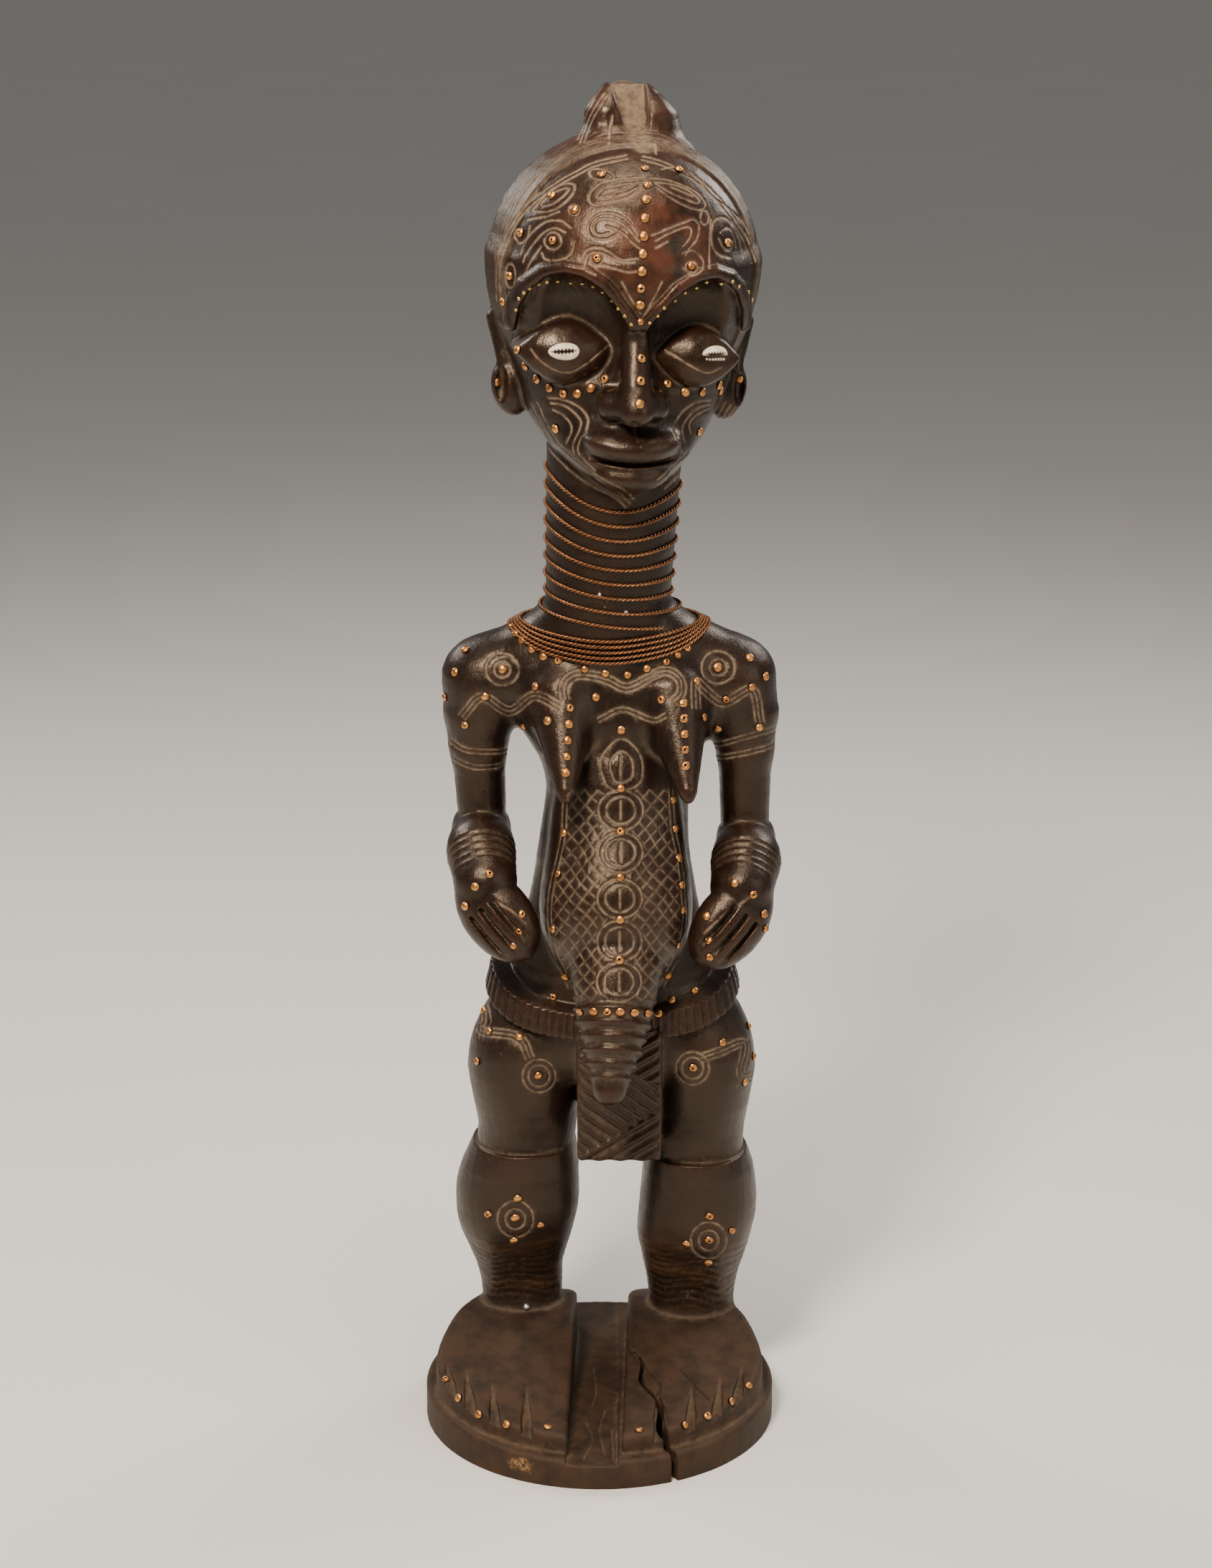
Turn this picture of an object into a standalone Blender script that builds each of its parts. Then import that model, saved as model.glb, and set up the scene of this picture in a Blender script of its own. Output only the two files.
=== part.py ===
"""Standing female figure with a wire-bound neck, carved with its round base from one block of wood.

The wood is a distance field: each part of the body is a short function that says how far a point is
from that part, and the parts are joined with small fillets, as a carver leaves them. The field is
meshed once and then thinned out. Wires, cowries and tacks are laid on the finished wood.

World axes: +X to the right of someone who faces the figure, +Y away from them, +Z up. The origin is
the middle of the underside of the base. Driving sizes are in metres. The body is drawn in carving
units, a 642nd of its own height, so that pose, proportions and carving are shares of that height.
"""
import math

import bmesh
import bpy
import numpy as np
import openvdb
from mathutils import Matrix, Vector
from mathutils.bvhtree import BVHTree

# Driving sizes in metres
FIGURE_HEIGHT = 0.660
BASE_DIAMETER = 0.1756
BASE_THICKNESS = 0.018
BASE_EDGE_RADIUS = 0.003
BASE_FRONT_WEAR = 0.0035
FOOT_LEDGE = 0.002
TOE_LEDGE = 0.008
CRACK_WIDTH = 0.0035
WIRE_DIAMETER = 0.0021
WIRE_PITCH = 0.0068
COLLAR_STRANDS = 5
COLLAR_STRAND_STEP = 0.0027
COWRIE_LENGTH = 0.0145
COWRIE_WIDTH = 0.0082
COWRIE_HEIGHT = 0.0034
TACK_DIAMETER = 0.0043
TACK_RISE = 0.0015
CLEARANCE = 0.0003

# Mesh fineness
VOXEL = 0.0015
WOOD_TRIANGLES = 6000
CARVED_WEIGHT = 2e-4
NECK_TURN_SEGMENTS = 14
COLLAR_SEGMENTS = 20
WIRE_SIDES = 5
SETTLING_ROUNDS = 40
TACK_SIDES = 6

# The body stands on the base, and its own heights are counted in carving units with its soles at 18
SOLE = 18.0
UNIT = (FIGURE_HEIGHT - BASE_THICKNESS) / 642.0
BASE_RADIUS = BASE_DIAMETER / 2


def column(values):
    return np.array(values, dtype=np.float32)[:, None]


def to_units(point):
    """World metres to the body's carving units."""
    return (point - column((0.0, 0.0, BASE_THICKNESS))) / UNIT + column((0.0, 0.0, SOLE))


def to_world(x, y, z):
    """Carving units to world metres."""
    return Vector((x * UNIT, y * UNIT, (z - SOLE) * UNIT + BASE_THICKNESS))


# Ways to join and cut distances

def join(a, b, fillet):
    h = np.clip(fillet - np.abs(a - b), 0.0, None) / fillet
    return np.minimum(a, b) - h * h * fillet * 0.25


def meet(a, b, fillet):
    return -join(-a, -b, fillet)


def cut(a, b, fillet):
    return meet(a, -b, fillet)


def length(vectors):
    return np.sqrt((vectors * vectors).sum(axis=0))


def smoothstep(low, high, values):
    t = np.clip((values - low) / (high - low), 0.0, 1.0)
    return t * t * (3.0 - 2.0 * t)


def curve(values, keys):
    """A smooth line through (place, height) keys, read at the given places."""
    places = np.array([key[0] for key in keys], dtype=float)
    heights = np.array([key[1] for key in keys], dtype=float)
    slopes = np.gradient(heights, places)
    fine = np.linspace(places[0], places[-1], 30 * len(places))
    left = np.clip(np.searchsorted(places, fine, side="right") - 1, 0, len(places) - 2)
    span = places[left + 1] - places[left]
    t = (fine - places[left]) / span
    value = (heights[left] * (1 + 2 * t) * (1 - t) ** 2 + heights[left + 1] * t * t * (3 - 2 * t)
             + slopes[left] * span * t * (1 - t) ** 2 - slopes[left + 1] * span * t * t * (1 - t))
    return np.interp(values, fine, value).astype(np.float32)


# Solid forms, each a distance in the units of its points

def ellipsoid(p, centre, radii, axes=None):
    q = p - column(centre)
    if axes is not None:
        q = axes @ q
    scaled = q / column(radii)
    reach = length(scaled)
    steep = np.maximum(length(scaled / column(radii)), 1e-5)
    return reach * (reach - 1.0) / steep


def cone(p, start, end, start_radius, end_radius):
    """A rod with round ends that tapers from one radius to the other."""
    a = column(start)
    way = column(end) - a
    t = np.clip(((p - a) * way).sum(axis=0) / float((way * way).sum()), 0.0, 1.0)
    return length(p - a - way * t) - (start_radius + (end_radius - start_radius) * t)


def limb(p, joints, fillet):
    """A chain of rods through joints given as (x, y, z, radius)."""
    shape = None
    for one, two in zip(joints, joints[1:]):
        rod = cone(p, one[:3], two[:3], one[3], two[3])
        shape = rod if shape is None else join(shape, rod, fillet)
    return shape


def loft(p, sections, power=2.0, end_fillet=4.0):
    """A form through level sections given as (height, centre x, centre y, half width, front, back)."""
    height = p[2]
    read = [curve(height, [(s[0], s[i]) for s in sections]) for i in range(1, 6)]
    centre_x, centre_y, half_width, front, back = read
    dx = p[0] - centre_x
    dy = p[1] - centre_y
    depth = np.where(dy < 0.0, front, back)
    share = (np.abs(dx) / half_width) ** power + (np.abs(dy) / depth) ** power
    share = np.maximum(share ** (1.0 / power), 0.02)
    side = np.hypot(dx, dy) * (1.0 - 1.0 / share) * 0.9
    ends = np.maximum(height - sections[-1][0], sections[0][0] - height)
    return meet(side, ends, end_fillet)


def axes_along(long_way, face_way):
    """Rows that turn a point into (across, out of the face, along) coordinates."""
    along = Vector(long_way).normalized()
    across = along.cross(Vector(face_way)).normalized()
    out = across.cross(along)
    return np.array([across, out, along], dtype=np.float32)


def turned(yaw, roll):
    """Rows that turn world offsets into the head's own frame."""
    turn = Matrix.Rotation(math.radians(yaw), 3, "Z") @ Matrix.Rotation(math.radians(roll), 3, "Y")
    return np.array(turn.transposed(), dtype=np.float32)


# The base, in metres. Its block runs on below the floor until its underside is sawn level

SAW_DEPTH = 4 * VOXEL


def base(p):
    x, y, z = p
    worn = BASE_FRONT_WEAR * smoothstep(0.35 * BASE_RADIUS, BASE_RADIUS, -y)
    out = np.hypot(x, y) - BASE_RADIUS + BASE_EDGE_RADIUS
    up = z - BASE_THICKNESS + worn + BASE_EDGE_RADIUS
    outside = np.hypot(np.maximum(out, 0.0), np.maximum(up, 0.0))
    return outside + np.minimum(np.maximum(out, up), 0.0) - BASE_EDGE_RADIUS


def foot_trench(p):
    """The shallow strip between the feet, open at the front edge of the base."""
    x, y, z = p
    middle = -0.0035
    half_width = 0.0125
    deepening = smoothstep(0.15 * BASE_RADIUS, 0.75 * BASE_RADIUS, -y)
    floor = BASE_THICKNESS - (BASE_FRONT_WEAR + 0.0022) * deepening
    sides = np.abs(x - middle) - half_width
    return np.maximum(sides, floor - z)


def crack(p):
    """The split from the right foot to the front edge, wider towards the edge."""
    x, y, z = p
    start_y = -0.012
    way = np.clip((start_y - y) / (BASE_RADIUS + start_y), 0.0, 1.0)
    middle = 0.0165 + 0.021 * way + 0.0022 * np.sin(way * 15.0)
    half_width = 0.5 * CRACK_WIDTH * (0.15 + 0.85 * way)
    sides = np.abs(x - middle) - half_width
    depth = 0.003 + 0.040 * way
    top = foot_top(y / UNIT) * UNIT + 0.004
    return np.maximum(np.maximum(sides, y - start_y), np.maximum(top - 0.004 - depth - z, z - top))


# Feet and legs, in carving units

TOE_CUTS = {-1: ((-36, -38, -77), (-53, -38, -70), (-66, -30, -56), (-76, -24, -42)),
            1: ((29, -38, -77), (46, -38, -73), (60, -34, -64), (71, -26, -52))}


def foot_top(y):
    return curve(y, ((-80, 23.5), (-60, 26.5), (-30, 33), (0, 41), (16, 45), (40, 44), (70, 34)))


def foot(p, side):
    """One slab foot with its inner wall straight and its outer edge along the base."""
    x, y, z = p
    outward = side * x
    rim = (BASE_RADIUS - FOOT_LEDGE) / UNIT
    toe_rim = (BASE_RADIUS - TOE_LEDGE) / UNIT
    oval = (np.hypot(x / rim, y / toe_rim) - 1.0) * toe_rim
    inner = (15.0 if side < 0 else 11.0) - 0.03 * (y + 75.0) * (1.0 if side < 0 else -1.0) - outward
    heel_corner = (outward - 82.0) * 0.91 + y * 0.41
    plan = meet(oval, inner, 2.5)
    plan = meet(plan, heel_corner, 16.0)
    plan = meet(plan, y - 68.0, 26.0)
    shape = meet(plan, z - foot_top(y), 3.5)
    for toe_x, back_y, front_y in TOE_CUTS[side]:
        lean = 0.18 * (back_y - y) * np.sign(toe_x) * (abs(toe_x) - 30.0) / 50.0
        along = (back_y - y) / (back_y - front_y)
        wide = 2.3 * np.clip(along * 1.6, 0.0, 1.0)
        depth = 5.0 * np.clip(along, 0.0, 1.0)
        wedge = np.maximum(np.abs(x - toe_x + lean) - wide, foot_top(y) - depth - z)
        shape = cut(shape, np.maximum(wedge, -along * 10.0), 1.0)
    return np.maximum(shape, SOLE - 6.0 - z)


LOWER_LEG = {
    -1: ((30, -40, 34, 21, 19, 21), (56, -40, 34, 21, 19, 21), (68, -41, 32, 22.5, 21, 22),
         (80, -41.5, 29, 26, 25, 25), (92, -42, 26, 29.5, 29, 28), (105, -41.5, 24, 31.3, 31, 30),
         (118, -41, 23, 30.8, 31, 31), (130, -39, 22, 28.6, 31.4, 30), (140, -37.5, 22, 25.6, 31.4, 28)),
    1: ((30, 47, 29, 22, 19, 21), (50, 47, 29, 22, 19, 21), (62, 47, 28, 23.5, 21, 22),
        (76, 47.5, 25, 26.5, 25, 25), (88, 48, 23, 29, 29, 28), (101, 49.5, 22, 29.8, 31, 30),
        (114, 50, 21, 29.2, 31, 31), (127, 49.5, 20, 27.6, 31.2, 30), (136, 48.5, 20, 25.4, 31.2, 28))}
THIGH = {
    -1: ((118, -38, 22, 20, 22, 24), (138, -37, 20, 24.4, 25.6, 26), (150, -36, 18, 25, 27.4, 28.5),
         (166, -36.5, 16, 27, 31, 32), (184, -37, 14, 28.5, 33, 35), (200, -33, 13, 29, 33, 37),
         (216, -27, 12, 25, 26, 32)),
    1: ((112, 48, 22, 20, 22, 24), (134, 48.5, 19, 23.4, 25.4, 26), (148, 48.5, 18, 24.2, 27.4, 28.5),
        (166, 49, 16, 26.5, 31, 32), (184, 50, 14, 27.5, 33, 35), (200, 46, 13, 28.5, 33, 37),
        (216, 40, 12, 25, 26, 32))}


def leg(p, side):
    lower = loft(p, LOWER_LEG[side], 2.2, 1.2)
    upper = loft(p, THIGH[side], 2.2, 8.0)
    return join(lower, upper, 0.8)


def seat(p):
    """The two cheeks behind the hips."""
    shape = None
    for side in (-1, 1):
        cheek = ellipsoid(p, (6.5 + 27.0 * side, 30.0, 191.0), (28.0, 25.0, 24.0))
        shape = cheek if shape is None else join(shape, cheek, 5.0)
    return shape


# Trunk, in carving units

PELVIS = ((178, 6.5, 12, 44, 24, 34), (190, 6.5, 12, 63, 31, 38), (202, 6.5, 12, 65.5, 33, 40),
          (214, 6.5, 12, 62, 33, 40), (224, 6.5, 12, 58, 32, 38), (232, 6.5, 12, 52, 31, 35))
TRUNK = ((222, 6.5, 12, 54, 32, 36), (240, 6.5, 12, 49, 31, 33), (258, 6.5, 12, 44, 30, 31),
         (276, 7, 12, 40, 29, 30), (296, 7, 12, 37, 28, 29), (312, 8, 12, 35.5, 28, 29),
         (326, 9, 12, 35, 29, 30), (340, 9, 12, 38, 31, 32), (352, 8.5, 12, 44.5, 33, 34),
         (364, 7.5, 12, 51, 34, 34), (382, 6, 12, 55, 32, 31), (396, 5.5, 12, 49, 29.5, 28),
         (408, 5, 11, 41, 28, 26), (420, 4.5, 9, 30, 27, 26))
BELT = ((190, 6.5, 12, 71, 41, 48), (204, 6.5, 12, 68, 41, 47), (216, 6.5, 12, 65, 40.5, 46),
        (228, 6.5, 12, 62.2, 39.5, 44), (246, 6.5, 12, 58, 37, 40))
BELT_RIBS = 80
BELT_HALF_WIDTH = 6.6


def belt_line(p):
    """Height of the middle of the belt, which dips towards the front."""
    return 214.0 + 17.0 * smoothstep(-34.0, 16.0, p[1])


def belt(p):
    around = np.arctan2(p[0] - 6.5, -(p[1] - 12.0))
    ribs = np.cos(around * BELT_RIBS)
    band = loft(p, BELT, 2.1, 4.0)
    flat_band = meet(band, np.abs(p[2] - belt_line(p)) - BELT_HALF_WIDTH, 1.4)
    return np.maximum(flat_band, band - 0.5 - 0.8 * ribs)


def belly(p):
    upper = ellipsoid(p, (8.5, -6.0, 300.0), (33.0, 27.0, 66.0))
    lower = ellipsoid(p, (8.0, -18.0, 271.0), (36.5, 34.0, 43.0), axes_along((0, -0.28, 1), (0, -1, 0)))
    return join(upper, lower, 14.0)


NAVEL = ((8.0, -38.0, 248.0, 22.5), (7.0, -49.0, 231.0, 18.5), (6.5, -56.5, 218.0, 14.2),
         (5.0, -64.0, 198.5, 8.6))


def navel(p):
    """The ribbed cone that the belly runs into."""
    shape = limb(p, NAVEL, 3.0)
    start, end = NAVEL[0][:3], NAVEL[-1][:3]
    axis = (Vector(end) - Vector(start)).normalized()
    along = ((p - column(start)) * column(axis)).sum(axis=0)
    rings = np.where((along > 14.0) & (along < 46.0), np.cos((along - 14.0) * (2 * math.pi / 6.4)), 0.0)
    return shape - 0.7 * rings


def breast(p, side):
    top = (-17.0, -8.0, 374.0) if side < 0 else (35.0, -8.0, 374.0)
    tip = (-15.5, -39.0, 338.0) if side < 0 else (41.5, -39.0, 338.0)
    nipple = (tip[0] + 0.5 * side, tip[1] - 2.5, tip[2] - 3.5)
    return join(cone(p, top, tip, 18.5, 5.0), ellipsoid(p, nipple, (2.4, 2.4, 2.4)), 2.5)


# Arms and hands, in carving units

UPPER_ARM = {-1: ((-34, 12, 388, 20.5), (-54.5, 13, 379, 20), (-57.5, 13, 362, 16.5),
                  (-58.5, 13.5, 346, 13.2), (-57, 14, 312, 12)),
             1: ((46, 12, 388, 20.5), (64, 13, 379, 20), (69, 13, 362, 16.5),
                 (70.5, 13.5, 345, 13.2), (70.8, 14, 306, 12))}
FOREARM = {-1: ((-57.5, 17, 302, 14.8), (-57, -4, 298, 15.4), (-54.5, -19, 287, 15.6)),
           1: ((71.6, 17, 297, 14.8), (71, -4, 293, 15.6), (68.5, -19, 284, 15.6))}
ELBOW_TOP = {-1: 317.5, 1: 311.5}
HAND = {-1: (-48.5, -27.0, 272.0), 1: (63.0, -27.0, 268.5)}


def arm(p, side):
    upper = limb(p, UPPER_ARM[side], 6.0)
    fore = limb(p, FOREARM[side], 6.0)
    fore = meet(fore, p[2] - ELBOW_TOP[side], 2.0)
    wrist = FOREARM[side][1]
    way = axes_along(Vector(FOREARM[side][2][:3]) - Vector(wrist[:3]), (0, 0, 1))
    along = (way @ (p - column(wrist[:3])))[2]
    bands = np.where((along > 0.0) & (along < 16.0), np.cos(along * (2 * math.pi / 4.0)), 0.0)
    return join(upper, fore - 0.35 * bands, 1.2)


def hand(p, side):
    """A mitten hand that lies on the flank, with three cuts between its four fingers."""
    fingers = (-0.62 * side, -0.30, -0.72)
    face = (0.35 * side, -1.0, 0.15)
    axes = axes_along(fingers, face)
    shape = ellipsoid(p, HAND[side], (17.5, 12.0, 26.0), axes)
    across, out, along = axes @ (p - column(HAND[side]))
    for place in (-6.5, 0.5, 7.5):
        groove = np.maximum(np.abs(across - place) - 1.1, np.abs(along - 7.0) - 14.0)
        shape = cut(shape, np.maximum(groove, 8.0 - out - np.abs(across) * 0.2), 1.2)
    return shape


# Apron, in carving units

APRON_LEFT = -11.0
APRON_RIGHT = 30.5
APRON_BOTTOM = 144.5


def apron(p):
    x, y, z = p
    middle = (APRON_LEFT + APRON_RIGHT) / 2
    half_width = (APRON_RIGHT - APRON_LEFT) / 2
    front = -25.5 - 0.05 * (z - APRON_BOTTOM)
    rising = (z - APRON_BOTTOM) * 0.84 - (x - APRON_LEFT) * 0.54
    falling = (z - APRON_BOTTOM) * 0.80 + (x - APRON_LEFT) * 0.60
    lower_zone = rising < 1.5
    upper_zone = z - APRON_BOTTOM > 41.0 + 0.35 * (APRON_RIGHT - x)
    hatch = np.where(lower_zone | upper_zone, rising, falling)
    grooves = 0.9 * np.cos(hatch * (2 * math.pi / 5.6))
    slab = meet(np.abs(x - middle) - half_width, APRON_BOTTOM - z, 3.0)
    slab = meet(slab, z - 214.0, 3.0)
    slab = meet(slab, front - y - grooves * smoothstep(0.0, 3.0, half_width - np.abs(x - middle)), 2.0)
    return meet(slab, y - 4.0, 2.0)


# Head, in its own frame: carving units, x across the face, -y out of the face, heights from its middle

HEAD = (11.3, 8.0, 579.0)
HEAD_AXES = turned(7.3, 2.0)
FACE = ((-103.5, 0, -33, 4, 13, 14), (-98, 0, -29, 11, 19, 22), (-91, 0, -23, 20.5, 27, 28),
        (-85, 0, -16, 31, 34.5, 34), (-77, 0, -10, 38.5, 40, 40), (-68, 0, -4, 44, 45.5, 46),
        (-53, 0, 0, 49.5, 50, 52), (-37, 0, 2, 54.5, 53, 57), (-19, 0, 1, 58.5, 56, 60),
        (4, 0, 0, 60.5, 60, 61))


def skull(q):
    cranium = ellipsoid(q, (0.0, 1.0, 1.0), (61.3, 62.0, 58.0))
    nape = ellipsoid(q, (0.0, 18.0, -30.0), (46.0, 40.0, 42.0))
    lower = loft(q, FACE, 2.1, 6.0)
    return join(join(cranium, nape, 12.0), lower, 8.0)


def hairline(q):
    """Above zero on the coiffure, below it on the face: an upright plane across the temples."""
    return q[1] + 28.5 - 0.08 * np.maximum(q[2], 0.0)


BROW = {-1: ((-2, -21.5), (-8, -13.5), (-16, -3.5), (-25, 2), (-34, 3.3), (-43, 0.3), (-50, -6.5), (-54, -16.5),
             (-55, -27)),
        1: ((3, -21.5), (9, -13.5), (17, -4.5), (26, 1), (35, 2.3), (43, -0.7), (49, -6.5), (53, -15.5),
            (54.5, -25))}
BROW_HALF_WIDTH = 3.4
BROW_RISE = 3.0
EYE = {-1: (-31.0, -36.0, 22.0, 15.5), 1: (29.5, -37.5, 18.8, 14.2)}


def brow_height(q, side):
    return curve(side * q[0], [(side * place, height) for place, height in BROW[side]])


def brow_ridge(q, side, ground):
    """A rounded rope that stands on the edge of the forehead, over a ground that is the bare skull."""
    across = np.full(q.shape[1], 1e3, dtype=np.float32)
    for one, two in zip(BROW[side], BROW[side][1:]):
        way = column((two[0] - one[0], two[1] - one[1]))
        gap = q[0::2] - column(one)
        t = np.clip((gap * way).sum(axis=0) / float((way * way).sum()), 0.0, 1.0)
        across = np.minimum(across, length(gap - way * t))
    swell = np.sqrt(np.clip(1.0 - (across / BROW_HALF_WIDTH) ** 2, 0.0, None))
    return np.where(q[1] < 0.0, ground - BROW_RISE * swell, ground)


def socket(q, side):
    """The hollow between the brow ridge and the cheek."""
    centre_x, centre_z, _, _ = EYE[side]
    below = q[2] - brow_height(q, side) + 2.8
    hollow = ellipsoid(q, (centre_x, -54.0, centre_z + 8.0), (27.0, 15.5, 29.0))
    return meet(meet(hollow, below, 1.6), 3.0 - side * q[0], 3.0)


def eye(q, side):
    """A bulging closed almond, with the slanting lid lines that meet at its corners."""
    centre_x, centre_z, half_length, half_height = EYE[side]
    across = q[0] - centre_x
    reach = np.clip(np.abs(across) / (half_length + 1.5), 0.0, 1.0)
    lid = half_height * (1.0 - reach ** 1.7)
    ball = ellipsoid(q, (centre_x, -31.0, centre_z), (26.0, 22.0, 18.5))
    almond = (np.abs(q[2] - centre_z) - lid) * 0.75
    return meet(ball, almond, 2.0)


def nose(q):
    bridge = cone(q, (0.0, -48.0, -21.0), (-0.5, -60.0, -53.0), 5.0, 8.0)
    tip = ellipsoid(q, (-0.5, -63.5, -59.0), (8.5, 9.0, 8.0))
    shape = join(bridge, tip, 5.0)
    for side in (-1, 1):
        wing = ellipsoid(q, (10.0 * side - 0.5, -54.0, -58.0), (7.0, 8.5, 7.5))
        shape = join(shape, wing, 5.0)
    return meet(shape, -67.0 - q[2], 3.0)


MOUTH_BEND = 0.0065


def mouth(q):
    """The pushed-out mouth with full lips, whose line dips in the middle."""
    muzzle = ellipsoid(q, (0.0, -34.0, -79.0), (28.0, 28.0, 20.0))
    bend = MOUTH_BEND * q[0] * q[0]
    lift = q - bend * column((0.0, 0.0, 1.0))
    upper = ellipsoid(lift, (0.0, -51.0, -77.5), (22.5, 14.0, 8.5))
    lower = ellipsoid(lift, (0.0, -49.0, -91.0), (18.0, 12.5, 8.0))
    shape = join(join(muzzle, upper, 2.0), lower, 2.0)
    line = np.maximum(np.abs(lift[2] + 84.5) - 0.9, np.abs(q[0]) - 21.5)
    return cut(shape, np.maximum(line, q[1] + 52.0), 1.4)


def ear(q, side):
    """A slanting strip over a round lobe."""
    strip = cone(q, (58.5 * side, 2.0, -27.0), (54.0 * side, -3.0, -46.0), 4.4, 4.0)
    hang = axes_along((-0.22 * side, 0, -1), (0, -1, 0))
    lobe = ellipsoid(q, (51.0 * side, -2.0, -59.0), (9.0, 9.0, 14.0), hang)
    back = ellipsoid(q, (46.0 * side, 8.0, -56.0), (9.0, 12.0, 14.0))
    hollow = ellipsoid(q, (56.0 * side, -9.0, -57.0), (2.6, 5.0, 8.0))
    return join(join(strip, cut(lobe, hollow, 1.5), 2.0), back, 4.0)


def topknot(q):
    """The cleft crest on top of the head, its left lobe steeper than its right one."""
    left = limb(q, ((-9.0, 3.0, 52.0, 14.5), (-9.0, 4.0, 66.0, 9.8), (-7.0, 7.0, 73.5, 7.4)), 5.0)
    right = limb(q, ((13.0, 3.0, 50.0, 16.0), (10.5, 5.0, 62.0, 13.0), (7.0, 9.0, 71.5, 9.2)), 5.0)
    back = limb(q, ((2.0, 16.0, 52.0, 22.0), (0.5, 21.0, 64.0, 13.0), (0.0, 22.0, 70.5, 9.6)), 6.0)
    shape = join(join(left, right, 4.0), back, 7.0)
    rise = np.clip(q[2] - 46.0, 0.0, None)
    across = np.abs(q[0] - 5.5 + 0.16 * rise)
    channel = np.maximum(across - 3.0 - 0.15 * rise, q[1] + 9.0 - 0.62 * rise)
    return cut(shape, np.maximum(channel, 45.0 - q[2]), 1.5)


def head(p):
    q = HEAD_AXES @ (p - column(HEAD))
    shape = skull(q)
    hair = hairline(q)
    shape = shape - 1.3 * smoothstep(-0.6, 1.4, hair) * smoothstep(-48.0, -30.0, q[2])
    ground = shape
    for side in (-1, 1):
        shape = np.minimum(shape, brow_ridge(q, side, ground))
    for side in (-1, 1):
        shape = cut(shape, socket(q, side), 2.0)
    for side in (-1, 1):
        shape = join(shape, eye(q, side), 1.5)
        shape = join(shape, ear(q, side), 2.5)
    shape = join(shape, mouth(q), 6.0)
    shape = join(shape, nose(q), 4.0)
    return join(shape, topknot(q), 5.0)


NECK_TOP = (7.6, 8.0, 500.0)
NECK_FOOT = (3.6, 8.0, 404.0)
NECK_TOP_RADIUS = 32.3
NECK_FOOT_RADIUS = 29.3


def neck(p):
    return cone(p, NECK_FOOT, NECK_TOP, NECK_FOOT_RADIUS, NECK_TOP_RADIUS)


def body(p):
    """The whole figure above its base, in carving units."""
    shape = loft(p, TRUNK, 2.1, 5.0)
    shape = join(shape, loft(p, PELVIS, 2.1, 6.0), 2.0)
    shape = join(shape, seat(p), 8.0)
    for side in (-1, 1):
        shape = join(shape, leg(p, side), 5.0)
        shape = join(shape, breast(p, side), 6.0)
    shape = join(shape, neck(p), 3.0)
    for side in (-1, 1):
        shape = join(shape, arm(p, side), 7.0)
    shape = join(shape, belly(p), 2.5)
    for side in (-1, 1):
        shape = join(shape, hand(p, side), 1.5)
    shape = join(shape, belt(p), 0.8)
    shape = join(shape, apron(p), 0.8)
    shape = join(shape, navel(p), 3.0)
    shape = join(shape, head(p), 3.0)
    for side in (-1, 1):
        shape = join(shape, foot(p, side), 2.0)
    return shape


def figure_distance(p):
    """Distance in metres from each world point to the wood."""
    plinth = cut(base(p), foot_trench(p), 0.0015)
    wood = join(plinth, body(to_units(p)) * UNIT, 0.0012)
    return np.maximum(cut(wood, crack(p), 0.0008), -SAW_DEPTH - p[2])


# Meshing

def sampled(distance, low, high, step):
    """Distances on a grid: worked out at every fourth place, then finely near the skin."""
    coarse = 4
    cells = np.ceil((np.array(high) - np.array(low)) / (step * coarse)).astype(int)
    centres = [low[i] + (np.arange(cells[i]) + 0.5) * step * coarse - step / 2 for i in range(3)]
    mesh = np.meshgrid(*centres, indexing="ij")
    rough = distance(np.stack([m.ravel() for m in mesh]).astype(np.float32)).reshape(cells)
    grid = rough.repeat(coarse, 0).repeat(coarse, 1).repeat(coarse, 2)
    near = np.nonzero(np.abs(grid) < step * coarse * 1.4)
    spots = np.stack([low[i] + near[i] * step for i in range(3)]).astype(np.float32)
    grid[near] = distance(spots)
    return grid


def wood_mesh():
    margin = 4 * VOXEL
    reach = 0.5 * max(BASE_DIAMETER, 0.28 * FIGURE_HEIGHT) + margin
    low = (-reach, -reach, -SAW_DEPTH - margin)
    high = (reach, reach, FIGURE_HEIGHT + margin)
    grid = openvdb.FloatGrid()
    grid.copyFromArray(sampled(figure_distance, low, high, VOXEL))
    points, quads = grid.convertToQuads(isovalue=0.0)
    mesh = bpy.data.meshes.new("figure")
    mesh.from_pydata((points * VOXEL + np.array(low)).tolist(), [], quads.tolist())
    mesh.update()
    return mesh


def material(name, colour, roughness, metallic):
    made = bpy.data.materials.new(name)
    made.use_nodes = True
    shader = made.node_tree.nodes["Principled BSDF"]
    shader.inputs["Base Color"].default_value = (*colour, 1.0)
    shader.inputs["Roughness"].default_value = roughness
    shader.inputs["Metallic"].default_value = metallic
    made.diffuse_color = (*colour, 1.0)
    return made


def add_object(name, mesh, look):
    made = bpy.data.objects.new(name, mesh)
    mesh.materials.append(look)
    bpy.context.scene.collection.objects.link(made)
    return made


def carved(places):
    """Which of the wood's points belong to fine carving, where the mesh stays denser."""
    p = to_units(places.T.astype(np.float32))
    q = HEAD_AXES @ (p - column(HEAD))
    face = (q[1] < -20.0) & (q[2] < 10.0) & (q[2] > -100.0)
    crest = q[2] > 52.0
    skirt = (np.abs(apron(p)) < 1.0) & (p[1] < -15.0)
    girdle = (np.abs(belt(p)) < 1.0) & (p[1] < -5.0)
    hands = np.minimum(hand(p, -1), hand(p, 1)) < 1.0
    return face | crest | skirt | girdle | hands


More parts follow.
